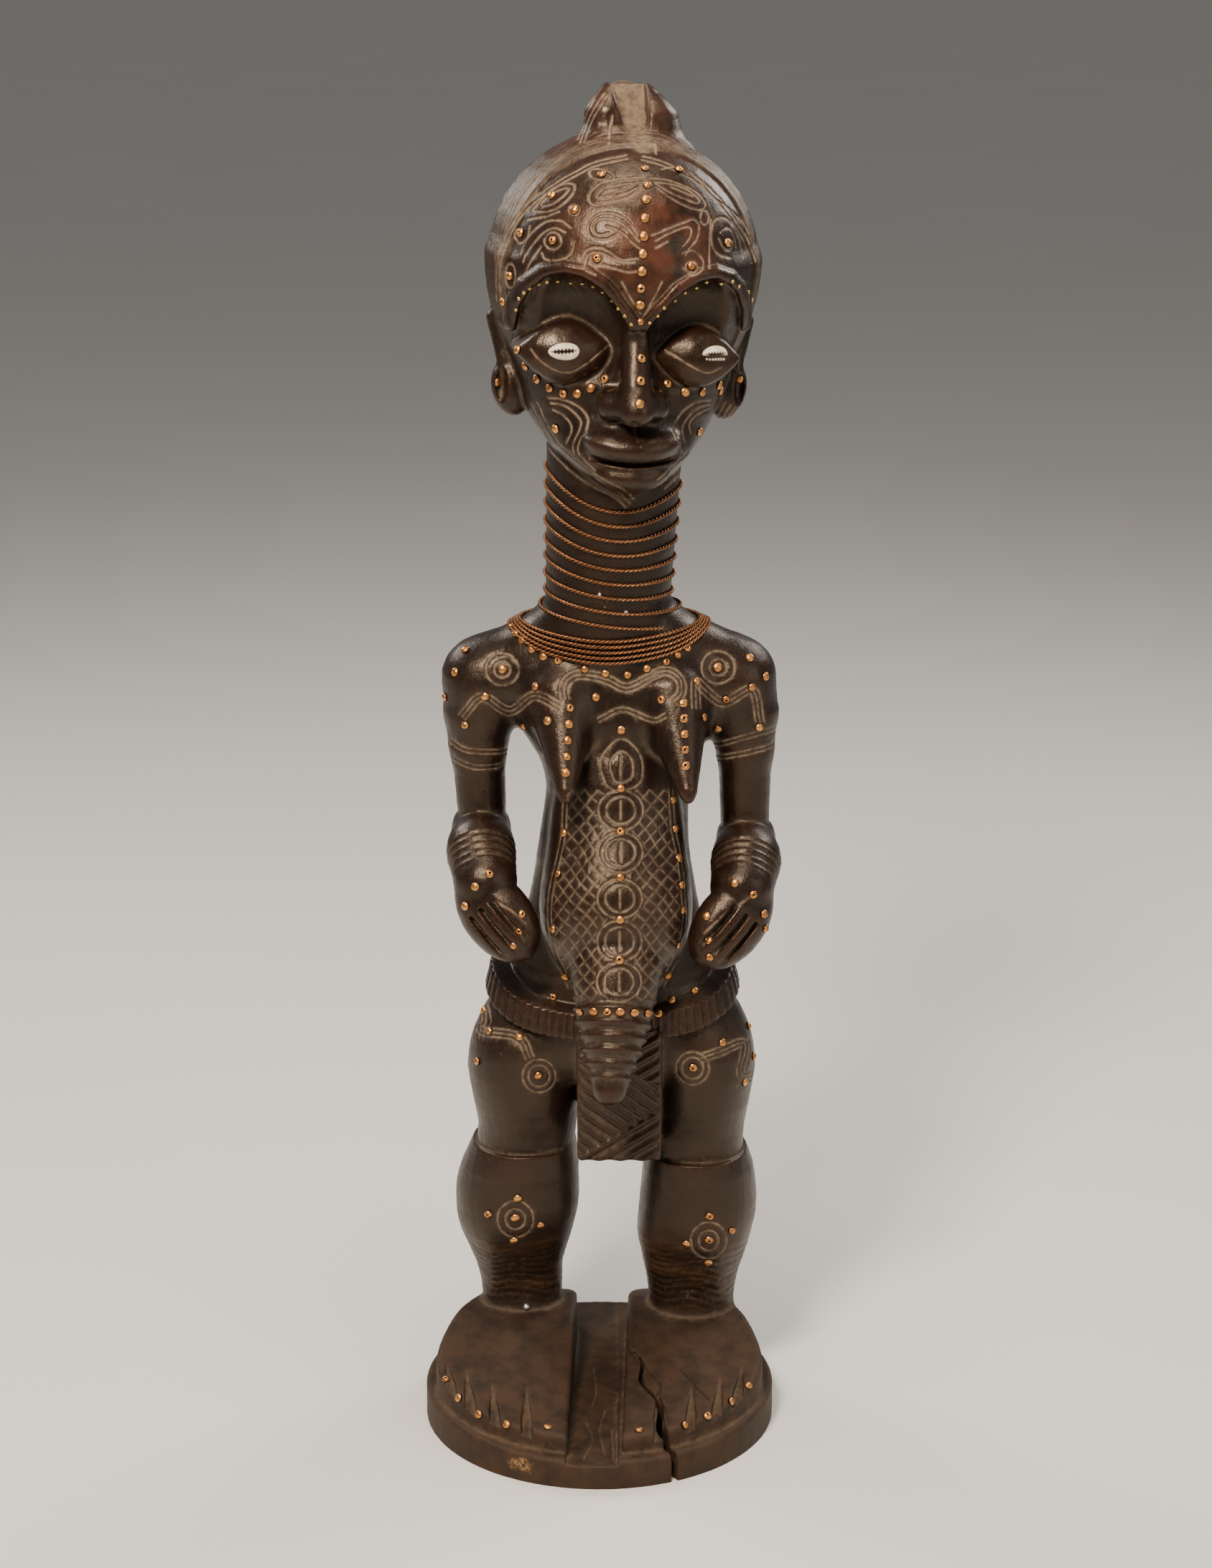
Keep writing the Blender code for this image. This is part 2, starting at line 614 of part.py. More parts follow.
def make_figure(look):
    figure = add_object("figure", wood_mesh(), look)
    places = np.empty(3 * len(figure.data.vertices))
    figure.data.vertices.foreach_get("co", places)
    fine = figure.vertex_groups.new(name="carved")
    fine.add(np.nonzero(carved(places.reshape(-1, 3)))[0].tolist(), 0.5, "REPLACE")
    thin = figure.modifiers.new("thin", "DECIMATE")
    thin.decimate_type = "COLLAPSE"
    thin.vertex_group = fine.name
    thin.invert_vertex_group = True
    thin.vertex_group_factor = CARVED_WEIGHT
    thin.use_collapse_triangulate = True
    thin.ratio = WOOD_TRIANGLES / (2.0 * len(figure.data.polygons))
    saw = make_saw(look)
    level = figure.modifiers.new("level underside", "BOOLEAN")
    level.operation = "DIFFERENCE"
    level.object = saw
    figure.data.shade_smooth()
    return figure


def make_saw(look):
    """The block that levels the underside of the base."""
    made = bmesh.new()
    size = 2 * BASE_DIAMETER
    bmesh.ops.create_cube(made, size=size, matrix=Matrix.Translation((0.0, 0.0, -size / 2)))
    mesh = bpy.data.meshes.new("saw")
    made.to_mesh(mesh)
    made.free()
    return hidden(add_object("saw", mesh, look))


def hidden(cutter):
    cutter.hide_render = True
    cutter.display_type = "WIRE"
    return cutter


# Things laid on the finished wood

class Surface:
    """The finished wood as other pieces meet it."""

    def __init__(self, thing):
        graph = bpy.context.evaluated_depsgraph_get()
        self.tree = BVHTree.FromObject(thing, graph)

    def hit(self, start, way):
        place, normal, _, _ = self.tree.ray_cast(Vector(start), Vector(way).normalized())
        return place, normal

    def gap(self, point):
        """Distance to the wood, below zero inside it, and the way out."""
        place, normal, _, _ = self.tree.find_nearest(point)
        away = point - place
        return (away.length if away.dot(normal) > 0.0 else -away.length), normal


def tube(name, points, radius, sides, closed, look):
    """A wire through the points, with level side faces and closed ends."""
    made = bmesh.new()
    count = len(points)
    rings = []
    for i, point in enumerate(points):
        before = points[i - 1] if (closed or i > 0) else point
        after = points[(i + 1) % count] if (closed or i < count - 1) else point
        along = (after - before).normalized()
        side = along.cross(Vector((0, 0, 1))).normalized()
        up = side.cross(along)
        ring = []
        for k in range(sides):
            turn = 2 * math.pi * (k + 0.5) / sides
            ring.append(made.verts.new(point + (side * math.cos(turn) + up * math.sin(turn)) * radius))
        rings.append(ring)
    for i in range(count if closed else count - 1):
        one, two = rings[i], rings[(i + 1) % count]
        for k in range(sides):
            made.faces.new((one[k], one[(k + 1) % sides], two[(k + 1) % sides], two[k]))
    if not closed:
        made.faces.new(rings[0])
        made.faces.new(rings[-1])
    bmesh.ops.recalc_face_normals(made, faces=made.faces[:])
    mesh = bpy.data.meshes.new(name)
    made.to_mesh(mesh)
    made.free()
    mesh.shade_smooth()
    return add_object(name, mesh, look)


def lifted_clear(points, closed, surface, gap):
    """The same route, pushed out until no stretch of it comes nearer to the wood than the gap."""
    points = [point.copy() for point in points]
    count = len(points)
    for _ in range(SETTLING_ROUNDS):
        push = [Vector() for _ in points]
        for i in range(count if closed else count - 1):
            after = (i + 1) % count
            for share in (0.0, 0.25, 0.5, 0.75):
                spot = points[i].lerp(points[after], share)
                room, normal = surface.gap(spot)
                if room < gap:
                    move = normal * (gap - room)
                    for end in (i, after):
                        if move.length > push[end].length:
                            push[end] = move
        for point, move in zip(points, push):
            point += move * 1.05
    return points


def neck_axis(height):
    """The middle of the neck at a height in carving units."""
    share = (height - NECK_FOOT[2]) / (NECK_TOP[2] - NECK_FOOT[2])
    return (NECK_FOOT[0] + (NECK_TOP[0] - NECK_FOOT[0]) * share, NECK_FOOT[1])


def around(turn):
    """The level way out from the neck at a turn from the front."""
    return Vector((math.sin(turn), -math.cos(turn), 0.0))


def on_neck(surface, turn, height):
    """Where the wood ends on the way out from the middle of the neck."""
    return surface.hit(to_world(*neck_axis(height), height), around(turn))


# Heights of the neck wire's first and last turn under the chin, and how much higher its first turn is
# at the sides, in carving units
NECK_WIRE_HIGH = 467.0
NECK_WIRE_LOW = 415.0
NECK_WIRE_SIDE_RISE = 13.0
NECK_WIRE_LEAN = 2.5
NECK_WIRE_START = -0.4
NECK_WIRE_PAST_FRONT = 0.15


def make_neck_wire(surface, look):
    """One wire wound down the neck from behind its left side, each turn higher at the sides."""
    full_turns = round((NECK_WIRE_HIGH - NECK_WIRE_LOW) * UNIT / WIRE_PITCH)
    count = round((full_turns + NECK_WIRE_PAST_FRONT - NECK_WIRE_START) * NECK_TURN_SEGMENTS)
    gap = WIRE_DIAMETER / 2 + CLEARANCE
    points = []
    for i in range(count + 1):
        turns = NECK_WIRE_START + i / NECK_TURN_SEGMENTS
        turn = 2 * math.pi * turns
        share = min(max(turns / full_turns, 0.0), 1.0)
        side = math.sin(min(abs(math.remainder(turn, 2 * math.pi)), math.pi / 2)) ** 2
        rise = NECK_WIRE_SIDE_RISE * (1.0 - share) * (1.0 - 0.4 * share)
        height = NECK_WIRE_HIGH - turns * WIRE_PITCH / UNIT + rise * side - NECK_WIRE_LEAN * math.sin(turn)
        place, _ = on_neck(surface, turn, height)
        points.append(place + around(turn) * gap)
    points = lifted_clear(points, False, surface, gap)
    return tube("neck_wire", points, WIRE_DIAMETER / 2, WIRE_SIDES, False, look)


# Heights of the first collar strand in front and at the sides, in carving units
COLLAR_FRONT = 405.5
COLLAR_SIDE = 410.5


def apart(strands):
    """The second strand, moved off the first wherever the two come closer than their own width."""
    first, second = strands
    least = WIRE_DIAMETER + CLEARANCE
    moved = []
    for one, two in zip(first, second):
        way = two - one
        moved.append(one + way.normalized() * max(way.length, least))
    return moved


def make_collar(surface, look):
    """Strands round the foot of the neck, each one a step further down the chest and shoulders."""
    gap = WIRE_DIAMETER / 2 + CLEARANCE
    last = None
    places = []
    for i in range(COLLAR_SEGMENTS):
        turn = 2 * math.pi * i / COLLAR_SEGMENTS
        height = COLLAR_FRONT + (COLLAR_SIDE - COLLAR_FRONT) * math.sin(turn / 2) ** 2
        places.append(on_neck(surface, turn, height))
    for strand in range(COLLAR_STRANDS):
        route = [place + normal * gap for place, normal in places]
        route = lifted_clear(route, True, surface, gap)
        if last is not None:
            route = apart([last, route])
            route = lifted_clear(route, True, surface, gap)
        last = route
        tube("collar_wire_%d" % (strand + 1), route, WIRE_DIAMETER / 2, WIRE_SIDES, True, look)
        stepped = []
        for i in range(COLLAR_SEGMENTS):
            out = around(2 * math.pi * i / COLLAR_SEGMENTS)
            near = [places[(i + k) % COLLAR_SEGMENTS][1] for k in (-1, 0, 1)]
            normal = (near[0] + near[1] * 2 + near[2]).normalized()
            down = (out * normal.z - Vector((0, 0, 1)) * normal.dot(out)).normalized()
            start = route[i] + down * COLLAR_STRAND_STEP
            place, found = surface.hit(start + normal * gap, -normal)
            stepped.append((place, (found + normal).normalized()))
        places = stepped


def make_cowrie(surface, name, x, z, length_share, broken, look):
    """A cowrie with its slit outwards, let into the eye. The broken one has lost its lower lip."""
    place, normal = surface.hit(to_world(x, -200.0, z), (0.0, 1.0, 0.0))
    half = (COWRIE_LENGTH / 2 * length_share, COWRIE_WIDTH / 2, COWRIE_HEIGHT)
    across = Vector((1.0, 0.0, 0.0)) - normal * normal.x
    across.normalize()
    turn = Matrix((across, normal.cross(across), normal)).transposed()
    sunk = place - normal * COWRIE_HEIGHT * COWRIE_SUNK

    def shell(grow):
        made = bmesh.new()
        bmesh.ops.create_uvsphere(made, u_segments=12, v_segments=6, radius=1.0)
        for vert in made.verts:
            spot = vert.co
            open_end = max(0.0, 1.0 - (abs(spot.x) / 0.85) ** 4)
            slit = 0.28 * math.exp(-(spot.y / 0.2) ** 2) * open_end if spot.z > 0 else 0.0
            lost = 0.3 if broken and spot.z > 0 and spot.y < -0.1 else 0.0
            lift = (half[2] * (1.0 - slit - lost) + grow) * spot.z
            along = (half[0] + grow) * spot.x
            aside = (half[1] + grow) * spot.y * (1.0 + 0.12 * spot.x)
            vert.co = sunk + turn @ Vector((along, aside, lift))
        return made

    made = shell(0.0)
    mesh = bpy.data.meshes.new(name)
    made.to_mesh(mesh)
    made.free()
    mesh.shade_smooth()
    add_object(name, mesh, look)
    pocket = shell(CLEARANCE)
    mesh = bpy.data.meshes.new("pocket_" + name)
    pocket.to_mesh(mesh)
    pocket.free()
    return hidden(add_object("pocket_" + name, mesh, look))


COWRIE_SUNK = 0.55
COWRIES = (("cowrie_left", -15.4, 545.9, 1.0, False), ("cowrie_right", 53.0, 543.2, 0.86, True))


def make_cowries(figure, surface, look):
    for name, x, z, length_share, broken in COWRIES:
        cutter = make_cowrie(surface, name, x, z, length_share, broken, look)
        pocket = figure.modifiers.new("pocket", "BOOLEAN")
        pocket.operation = "DIFFERENCE"
        pocket.object = cutter


def make_tack(surface, name, x, z, size, look):
    """A round-headed tack at a place seen from straight ahead, seated just clear of the wood."""
    place, normal = surface.hit(to_world(x, -200.0, z), (0.0, 1.0, 0.0))
    radius = TACK_DIAMETER / 2 * size
    turn = normal.to_track_quat("Z", "Y").to_matrix()

    def ring(share, height):
        spots = []
        for k in range(TACK_SIDES):
            angle = 2 * math.pi * k / TACK_SIDES
            spot = Vector((math.cos(angle) * share, math.sin(angle) * share, 0.0)) * radius
            spots.append(place + turn @ spot + normal * height)
        return spots

    rim = ring(1.0, 0.0)
    rim += [spot.lerp(after, 0.5) for spot, after in zip(rim, rim[1:] + rim[:1])]
    rim += ring(0.5, 0.0) + [place]
    lift = CLEARANCE
    for _ in range(SETTLING_ROUNDS):
        room = min(surface.gap(spot + normal * lift)[0] for spot in rim)
        lift += 1.05 * max(CLEARANCE - room, 0.0)
    made = bmesh.new()
    low = [made.verts.new(spot) for spot in ring(1.0, lift)]
    high = [made.verts.new(spot) for spot in ring(0.72, lift + 0.66 * TACK_RISE)]
    top = made.verts.new(place + normal * (lift + TACK_RISE))
    made.faces.new(low[::-1])
    for k in range(TACK_SIDES):
        after = (k + 1) % TACK_SIDES
        made.faces.new((low[k], low[after], high[after], high[k]))
        made.faces.new((high[k], high[after], top))
    mesh = bpy.data.meshes.new(name)
    made.to_mesh(mesh)
    made.free()
    mesh.shade_smooth()
    return add_object(name, mesh, look)


# Rows of tacks as (name, first place, last place, count, bow, size). Places are (x, z) in carving
# units, and the bow is how far the row's middle hangs down
TACK_ROWS = (
    ("tack_forehead", (21.0, 612.6), (18.5, 567.0), 7, 0.0, 1.0),
    ("tack_nose", (19.2, 543.5), (18.2, 524.5), 3, 0.0, 1.1),
    ("tack_cheek_left", (-28.7, 529.7), (2.7, 532.5), 6, 6.5, 1.0),
    ("tack_cheek_right", (31.5, 529.5), (55.5, 524.5), 4, 3.0, 1.0),
    ("tack_breast_left", (-13.5, 375.0), (-15.5, 347.0), 5, 0.0, 1.1),
    ("tack_breast_right", (39.6, 377.0), (40.4, 350.0), 5, 0.0, 1.1),
    ("tack_chest", (10.5, 362.5), (10.5, 362.5), 1, 0.0, 1.0),
    ("tack_belly", (10.3, 335.8), (9.5, 260.0), 5, 0.0, 1.0),
    ("tack_navel", (-9.0, 234.5), (23.0, 234.5), 6, -3.0, 1.1),
    ("tack_shoulder", (-45.8, 388.5), (56.0, 389.5), 2, 0.0, 1.1),
    ("tack_hip", (-29.5, 187.0), (45.5, 191.5), 2, 0.0, 1.0),
    ("tack_knee", (-41.8, 106.5), (54.6, 94.8), 2, 0.0, 1.1),
)


def make_tacks(surface, look):
    for name, first, last, count, bow, size in TACK_ROWS:
        for i in range(count):
            share = i / max(count - 1, 1)
            x = first[0] + (last[0] - first[0]) * share
            z = first[1] + (last[1] - first[1]) * share - bow * math.sin(math.pi * share)
            make_tack(surface, "%s_%d" % (name, i + 1), x, z, size, look)


for old in list(bpy.data.objects):
    bpy.data.objects.remove(old, do_unlink=True)

WOOD = material("oiled_wood", (0.035, 0.018, 0.010), 0.35, 0.0)
COPPER = material("copper", (0.62, 0.27, 0.10), 0.32, 1.0)
SHELL = material("cowrie_shell", (0.80, 0.74, 0.62), 0.35, 0.0)

figure = make_figure(WOOD)
skin = Surface(figure)
make_neck_wire(skin, COPPER)
make_collar(skin, COPPER)
make_tacks(skin, COPPER)
make_cowries(figure, skin, SHELL)
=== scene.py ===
"""Looks of the standing female figure: its fine carving, wires, tacks, shells and finishes."""
import math
import random

import bmesh
import bpy
import numpy as np
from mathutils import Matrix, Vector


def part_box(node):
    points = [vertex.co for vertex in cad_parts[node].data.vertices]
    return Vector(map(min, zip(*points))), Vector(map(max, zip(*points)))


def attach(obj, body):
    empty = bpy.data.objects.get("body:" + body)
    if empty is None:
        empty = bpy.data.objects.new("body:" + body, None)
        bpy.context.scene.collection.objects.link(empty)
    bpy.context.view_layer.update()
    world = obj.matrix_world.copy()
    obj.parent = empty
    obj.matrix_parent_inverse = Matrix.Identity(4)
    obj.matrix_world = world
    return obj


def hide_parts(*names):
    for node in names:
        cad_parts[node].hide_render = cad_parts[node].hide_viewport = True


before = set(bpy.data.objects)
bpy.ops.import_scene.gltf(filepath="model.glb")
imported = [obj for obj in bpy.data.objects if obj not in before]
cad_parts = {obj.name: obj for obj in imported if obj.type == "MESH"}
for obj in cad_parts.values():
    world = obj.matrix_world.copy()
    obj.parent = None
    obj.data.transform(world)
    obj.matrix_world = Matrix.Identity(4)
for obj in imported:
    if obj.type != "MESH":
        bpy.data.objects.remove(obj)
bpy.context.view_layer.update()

import openvdb
from mathutils import Matrix, Vector
from mathutils.bvhtree import BVHTree

# The part's own sizes in metres
FIGURE_HEIGHT = 0.660
BASE_DIAMETER = 0.1756
BASE_THICKNESS = 0.018
BASE_EDGE_RADIUS = 0.003
BASE_FRONT_WEAR = 0.0035
FOOT_LEDGE = 0.002
TOE_LEDGE = 0.008
CRACK_WIDTH = 0.0035
WIRE_DIAMETER = 0.0021
WIRE_PITCH = 0.0068
COLLAR_STRANDS = 5
COLLAR_STRAND_STEP = 0.0027
COWRIE_LENGTH = 0.0145
COWRIE_WIDTH = 0.0082
COWRIE_HEIGHT = 0.0034
TACK_DIAMETER = 0.0043
TACK_RISE = 0.0015
CLEARANCE = 0.0003

# Fineness
SAW_DEPTH = 0.006
WOOD_TRIANGLES = 196000

# The body stands on the base, and its own heights are counted in carving units with its soles at 18
SOLE = 18.0
UNIT = (FIGURE_HEIGHT - BASE_THICKNESS) / 642.0
BASE_RADIUS = BASE_DIAMETER / 2


def column(values):
    return np.array(values, dtype=np.float32)[:, None]


def to_units(point):
    """World metres to the body's carving units."""
    return (point - column((0.0, 0.0, BASE_THICKNESS))) / UNIT + column((0.0, 0.0, SOLE))


def to_world(x, y, z):
    """Carving units to world metres."""
    return Vector((x * UNIT, y * UNIT, (z - SOLE) * UNIT + BASE_THICKNESS))


# Ways to join and cut distances

def join(a, b, fillet):
    h = np.clip(fillet - np.abs(a - b), 0.0, None) / fillet
    return np.minimum(a, b) - h * h * fillet * 0.25


def meet(a, b, fillet):
    return -join(-a, -b, fillet)


def cut(a, b, fillet):
    return meet(a, -b, fillet)


def length(vectors):
    return np.sqrt((vectors * vectors).sum(axis=0))


def smoothstep(low, high, values):
    t = np.clip((values - low) / (high - low), 0.0, 1.0)
    return t * t * (3.0 - 2.0 * t)


def curve(values, keys):
    """A smooth line through (place, height) keys, read at the given places."""
    places = np.array([key[0] for key in keys], dtype=float)
    heights = np.array([key[1] for key in keys], dtype=float)
    slopes = np.gradient(heights, places)
    fine = np.linspace(places[0], places[-1], 30 * len(places))
    left = np.clip(np.searchsorted(places, fine, side="right") - 1, 0, len(places) - 2)
    span = places[left + 1] - places[left]
    t = (fine - places[left]) / span
    value = (heights[left] * (1 + 2 * t) * (1 - t) ** 2 + heights[left + 1] * t * t * (3 - 2 * t)
             + slopes[left] * span * t * (1 - t) ** 2 - slopes[left + 1] * span * t * t * (1 - t))
    return np.interp(values, fine, value).astype(np.float32)


# Solid forms, each a distance in the units of its points

def ellipsoid(p, centre, radii, axes=None):
    q = p - column(centre)
    if axes is not None:
        q = axes @ q
    scaled = q / column(radii)
    reach = length(scaled)
    steep = np.maximum(length(scaled / column(radii)), 1e-5)
    return reach * (reach - 1.0) / steep


def cone(p, start, end, start_radius, end_radius):
    """A rod with round ends that tapers from one radius to the other."""
    a = column(start)
    way = column(end) - a
    t = np.clip(((p - a) * way).sum(axis=0) / float((way * way).sum()), 0.0, 1.0)
    return length(p - a - way * t) - (start_radius + (end_radius - start_radius) * t)


def limb(p, joints, fillet):
    """A chain of rods through joints given as (x, y, z, radius)."""
    shape = None
    for one, two in zip(joints, joints[1:]):
        rod = cone(p, one[:3], two[:3], one[3], two[3])
        shape = rod if shape is None else join(shape, rod, fillet)
    return shape


def loft(p, sections, power=2.0, end_fillet=4.0):
    """A form through level sections given as (height, centre x, centre y, half width, front, back)."""
    height = p[2]
    read = [curve(height, [(s[0], s[i]) for s in sections]) for i in range(1, 6)]
    centre_x, centre_y, half_width, front, back = read
    dx = p[0] - centre_x
    dy = p[1] - centre_y
    depth = np.where(dy < 0.0, front, back)
    share = (np.abs(dx) / half_width) ** power + (np.abs(dy) / depth) ** power
    share = np.maximum(share ** (1.0 / power), 0.02)
    side = np.hypot(dx, dy) * (1.0 - 1.0 / share) * 0.9
    ends = np.maximum(height - sections[-1][0], sections[0][0] - height)
    return meet(side, ends, end_fillet)


def axes_along(long_way, face_way):
    """Rows that turn a point into (across, out of the face, along) coordinates."""
    along = Vector(long_way).normalized()
    across = along.cross(Vector(face_way)).normalized()
    out = across.cross(along)
    return np.array([across, out, along], dtype=np.float32)


def turned(yaw, roll):
    """Rows that turn world offsets into the head's own frame."""
    turn = Matrix.Rotation(math.radians(yaw), 3, "Z") @ Matrix.Rotation(math.radians(roll), 3, "Y")
    return np.array(turn.transposed(), dtype=np.float32)


# The base, in metres. Its block runs on below the floor until its underside is levelled


def base(p):
    x, y, z = p
    worn = BASE_FRONT_WEAR * smoothstep(0.35 * BASE_RADIUS, BASE_RADIUS, -y)
    out = np.hypot(x, y) - BASE_RADIUS + BASE_EDGE_RADIUS
    up = z - BASE_THICKNESS + worn + BASE_EDGE_RADIUS
    outside = np.hypot(np.maximum(out, 0.0), np.maximum(up, 0.0))
    return outside + np.minimum(np.maximum(out, up), 0.0) - BASE_EDGE_RADIUS


def foot_trench(p):
    """The shallow strip between the feet, open at the front edge of the base."""
    x, y, z = p
    middle = -0.0035
    half_width = 0.0125
    deepening = smoothstep(0.15 * BASE_RADIUS, 0.75 * BASE_RADIUS, -y)
    floor = BASE_THICKNESS - (BASE_FRONT_WEAR + 0.0022) * deepening
    sides = np.abs(x - middle) - half_width
    return np.maximum(sides, floor - z)


def crack(p):
    """The split from the right foot to the front edge, wider towards the edge."""
    x, y, z = p
    start_y = -0.012
    way = np.clip((start_y - y) / (BASE_RADIUS + start_y), 0.0, 1.0)
    middle = 0.0165 + 0.021 * way + 0.0022 * np.sin(way * 15.0)
    half_width = 0.5 * CRACK_WIDTH * (0.15 + 0.85 * way)
    sides = np.abs(x - middle) - half_width
    depth = 0.003 + 0.040 * way
    top = foot_top(y / UNIT) * UNIT + 0.004
    return np.maximum(np.maximum(sides, y - start_y), np.maximum(top - 0.004 - depth - z, z - top))


# Feet and legs, in carving units

TOE_CUTS = {-1: ((-36, -38, -77), (-53, -38, -70), (-66, -30, -56), (-76, -24, -42)),
            1: ((29, -38, -77), (46, -38, -73), (60, -34, -64), (71, -26, -52))}


def foot_top(y):
    return curve(y, ((-80, 23.5), (-60, 26.5), (-30, 33), (0, 41), (16, 45), (40, 44), (70, 34)))


def foot(p, side):
    """One slab foot with its inner wall straight and its outer edge along the base."""
    x, y, z = p
    outward = side * x
    rim = (BASE_RADIUS - FOOT_LEDGE) / UNIT
    toe_rim = (BASE_RADIUS - TOE_LEDGE) / UNIT
    oval = (np.hypot(x / rim, y / toe_rim) - 1.0) * toe_rim
    inner = (15.0 if side < 0 else 11.0) - 0.03 * (y + 75.0) * (1.0 if side < 0 else -1.0) - outward
    heel_corner = (outward - 82.0) * 0.91 + y * 0.41
    plan = meet(oval, inner, 2.5)
    plan = meet(plan, heel_corner, 16.0)
    plan = meet(plan, y - 68.0, 26.0)
    shape = meet(plan, z - foot_top(y), 3.5)
    for toe_x, back_y, front_y in TOE_CUTS[side]:
        lean = 0.18 * (back_y - y) * np.sign(toe_x) * (abs(toe_x) - 30.0) / 50.0
        along = (back_y - y) / (back_y - front_y)
        wide = 2.3 * np.clip(along * 1.6, 0.0, 1.0)
        floor = foot_top(y) - 5.0 * np.clip(along, 0.0, 1.0)
        wedge = np.maximum(np.abs(x - toe_x + lean) - wide, floor - z)
        shape = cut(shape, np.maximum(wedge, -along * 10.0), 1.0)
    return np.maximum(shape, SOLE - 6.0 - z)


LOWER_LEG = {
    -1: ((30, -40, 34, 21, 19, 21), (56, -40, 34, 21, 19, 21), (68, -41, 32, 22.5, 21, 22),
         (80, -41.5, 29, 26, 25, 25), (92, -42, 26, 29.5, 29, 28), (105, -41.5, 24, 31.3, 31, 30),
         (118, -41, 23, 30.8, 31, 31), (130, -39, 22, 28.6, 31.4, 30), (140, -37.5, 22, 25.6, 31.4, 28)),
    1: ((30, 47, 29, 22, 19, 21), (50, 47, 29, 22, 19, 21), (62, 47, 28, 23.5, 21, 22),
        (76, 47.5, 25, 26.5, 25, 25), (88, 48, 23, 29, 29, 28), (101, 49.5, 22, 29.8, 31, 30),
        (114, 50, 21, 29.2, 31, 31), (127, 49.5, 20, 27.6, 31.2, 30), (136, 48.5, 20, 25.4, 31.2, 28))}
THIGH = {
    -1: ((118, -38, 22, 20, 22, 24), (138, -37, 20, 24.4, 25.6, 26), (150, -36, 18, 25, 27.4, 28.5),
         (166, -36.5, 16, 27, 31, 32), (184, -37, 14, 28.5, 33, 35), (200, -33, 13, 29, 33, 37),
         (216, -27, 12, 25, 26, 32)),
    1: ((112, 48, 22, 20, 22, 24), (134, 48.5, 19, 23.4, 25.4, 26), (148, 48.5, 18, 24.2, 27.4, 28.5),
        (166, 49, 16, 26.5, 31, 32), (184, 50, 14, 27.5, 33, 35), (200, 46, 13, 28.5, 33, 37),
        (216, 40, 12, 25, 26, 32))}


def leg(p, side):
    lower = loft(p, LOWER_LEG[side], 2.2, 1.2)
    upper = loft(p, THIGH[side], 2.2, 8.0)
    return join(lower, upper, 0.8)


def seat(p):
    """The two cheeks behind the hips."""
    shape = None
    for side in (-1, 1):
        cheek = ellipsoid(p, (6.5 + 27.0 * side, 30.0, 191.0), (28.0, 25.0, 24.0))
        shape = cheek if shape is None else join(shape, cheek, 5.0)
    return shape


# Trunk, in carving units

PELVIS = ((178, 6.5, 12, 44, 24, 34), (190, 6.5, 12, 63, 31, 38), (202, 6.5, 12, 65.5, 33, 40),
          (214, 6.5, 12, 62, 33, 40), (224, 6.5, 12, 58, 32, 38), (232, 6.5, 12, 52, 31, 35))
TRUNK = ((222, 6.5, 12, 54, 32, 36), (240, 6.5, 12, 49, 31, 33), (258, 6.5, 12, 44, 30, 31),
         (276, 7, 12, 40, 29, 30), (296, 7, 12, 37, 28, 29), (312, 8, 12, 35.5, 28, 29),
         (326, 9, 12, 35, 29, 30), (340, 9, 12, 38, 31, 32), (352, 8.5, 12, 44.5, 33, 34),
         (364, 7.5, 12, 51, 34, 34), (382, 6, 12, 55, 32, 31), (396, 5.5, 12, 49, 29.5, 28),
         (408, 5, 11, 41, 28, 26), (420, 4.5, 9, 30, 27, 26))


BELT = ((190, 6.5, 12, 71, 41, 48), (204, 6.5, 12, 68, 41, 47), (216, 6.5, 12, 65, 40.5, 46),
        (228, 6.5, 12, 62.2, 39.5, 44), (246, 6.5, 12, 58, 37, 40))
BELT_RIBS = 80
BELT_HALF_WIDTH = 6.6


def belt_line(p):
    """Height of the middle of the belt, which dips towards the front."""
    return 214.0 + 17.0 * smoothstep(-34.0, 16.0, p[1])


def belt(p):
    around = np.arctan2(p[0] - 6.5, -(p[1] - 12.0))
    ribs = np.cos(around * BELT_RIBS)
    band = loft(p, BELT, 2.1, 4.0)
    flat_band = meet(band, np.abs(p[2] - belt_line(p)) - BELT_HALF_WIDTH, 1.4)
    return np.maximum(flat_band, band - 0.15 - 1.0 * ribs)


def belly(p):
    upper = ellipsoid(p, (8.5, -6.0, 300.0), (33.0, 27.0, 66.0))
    lower = ellipsoid(p, (8.0, -18.0, 271.0), (36.5, 34.0, 43.0), axes_along((0, -0.28, 1), (0, -1, 0)))
    return join(upper, lower, 14.0)


NAVEL = ((8.0, -38.0, 248.0, 22.5), (7.0, -49.0, 231.0, 18.5), (6.5, -56.5, 218.0, 14.2),
         (5.0, -64.0, 198.5, 8.6))
NAVEL_RINGS = (14.0, 52.4)
NAVEL_RING_PITCH = 6.4


def navel(p):
    """The ribbed cone that the belly runs into."""
    shape = limb(p, NAVEL, 3.0)
    start, end = NAVEL[0][:3], NAVEL[-1][:3]
    axis = (Vector(end) - Vector(start)).normalized()
    along = ((p - column(start)) * column(axis)).sum(axis=0)
    ringed = (along > NAVEL_RINGS[0]) & (along < NAVEL_RINGS[1])
    wave = np.cos((along - NAVEL_RINGS[0]) * (2 * math.pi / NAVEL_RING_PITCH))
    return shape - 0.9 * np.where(ringed, wave, 0.0)


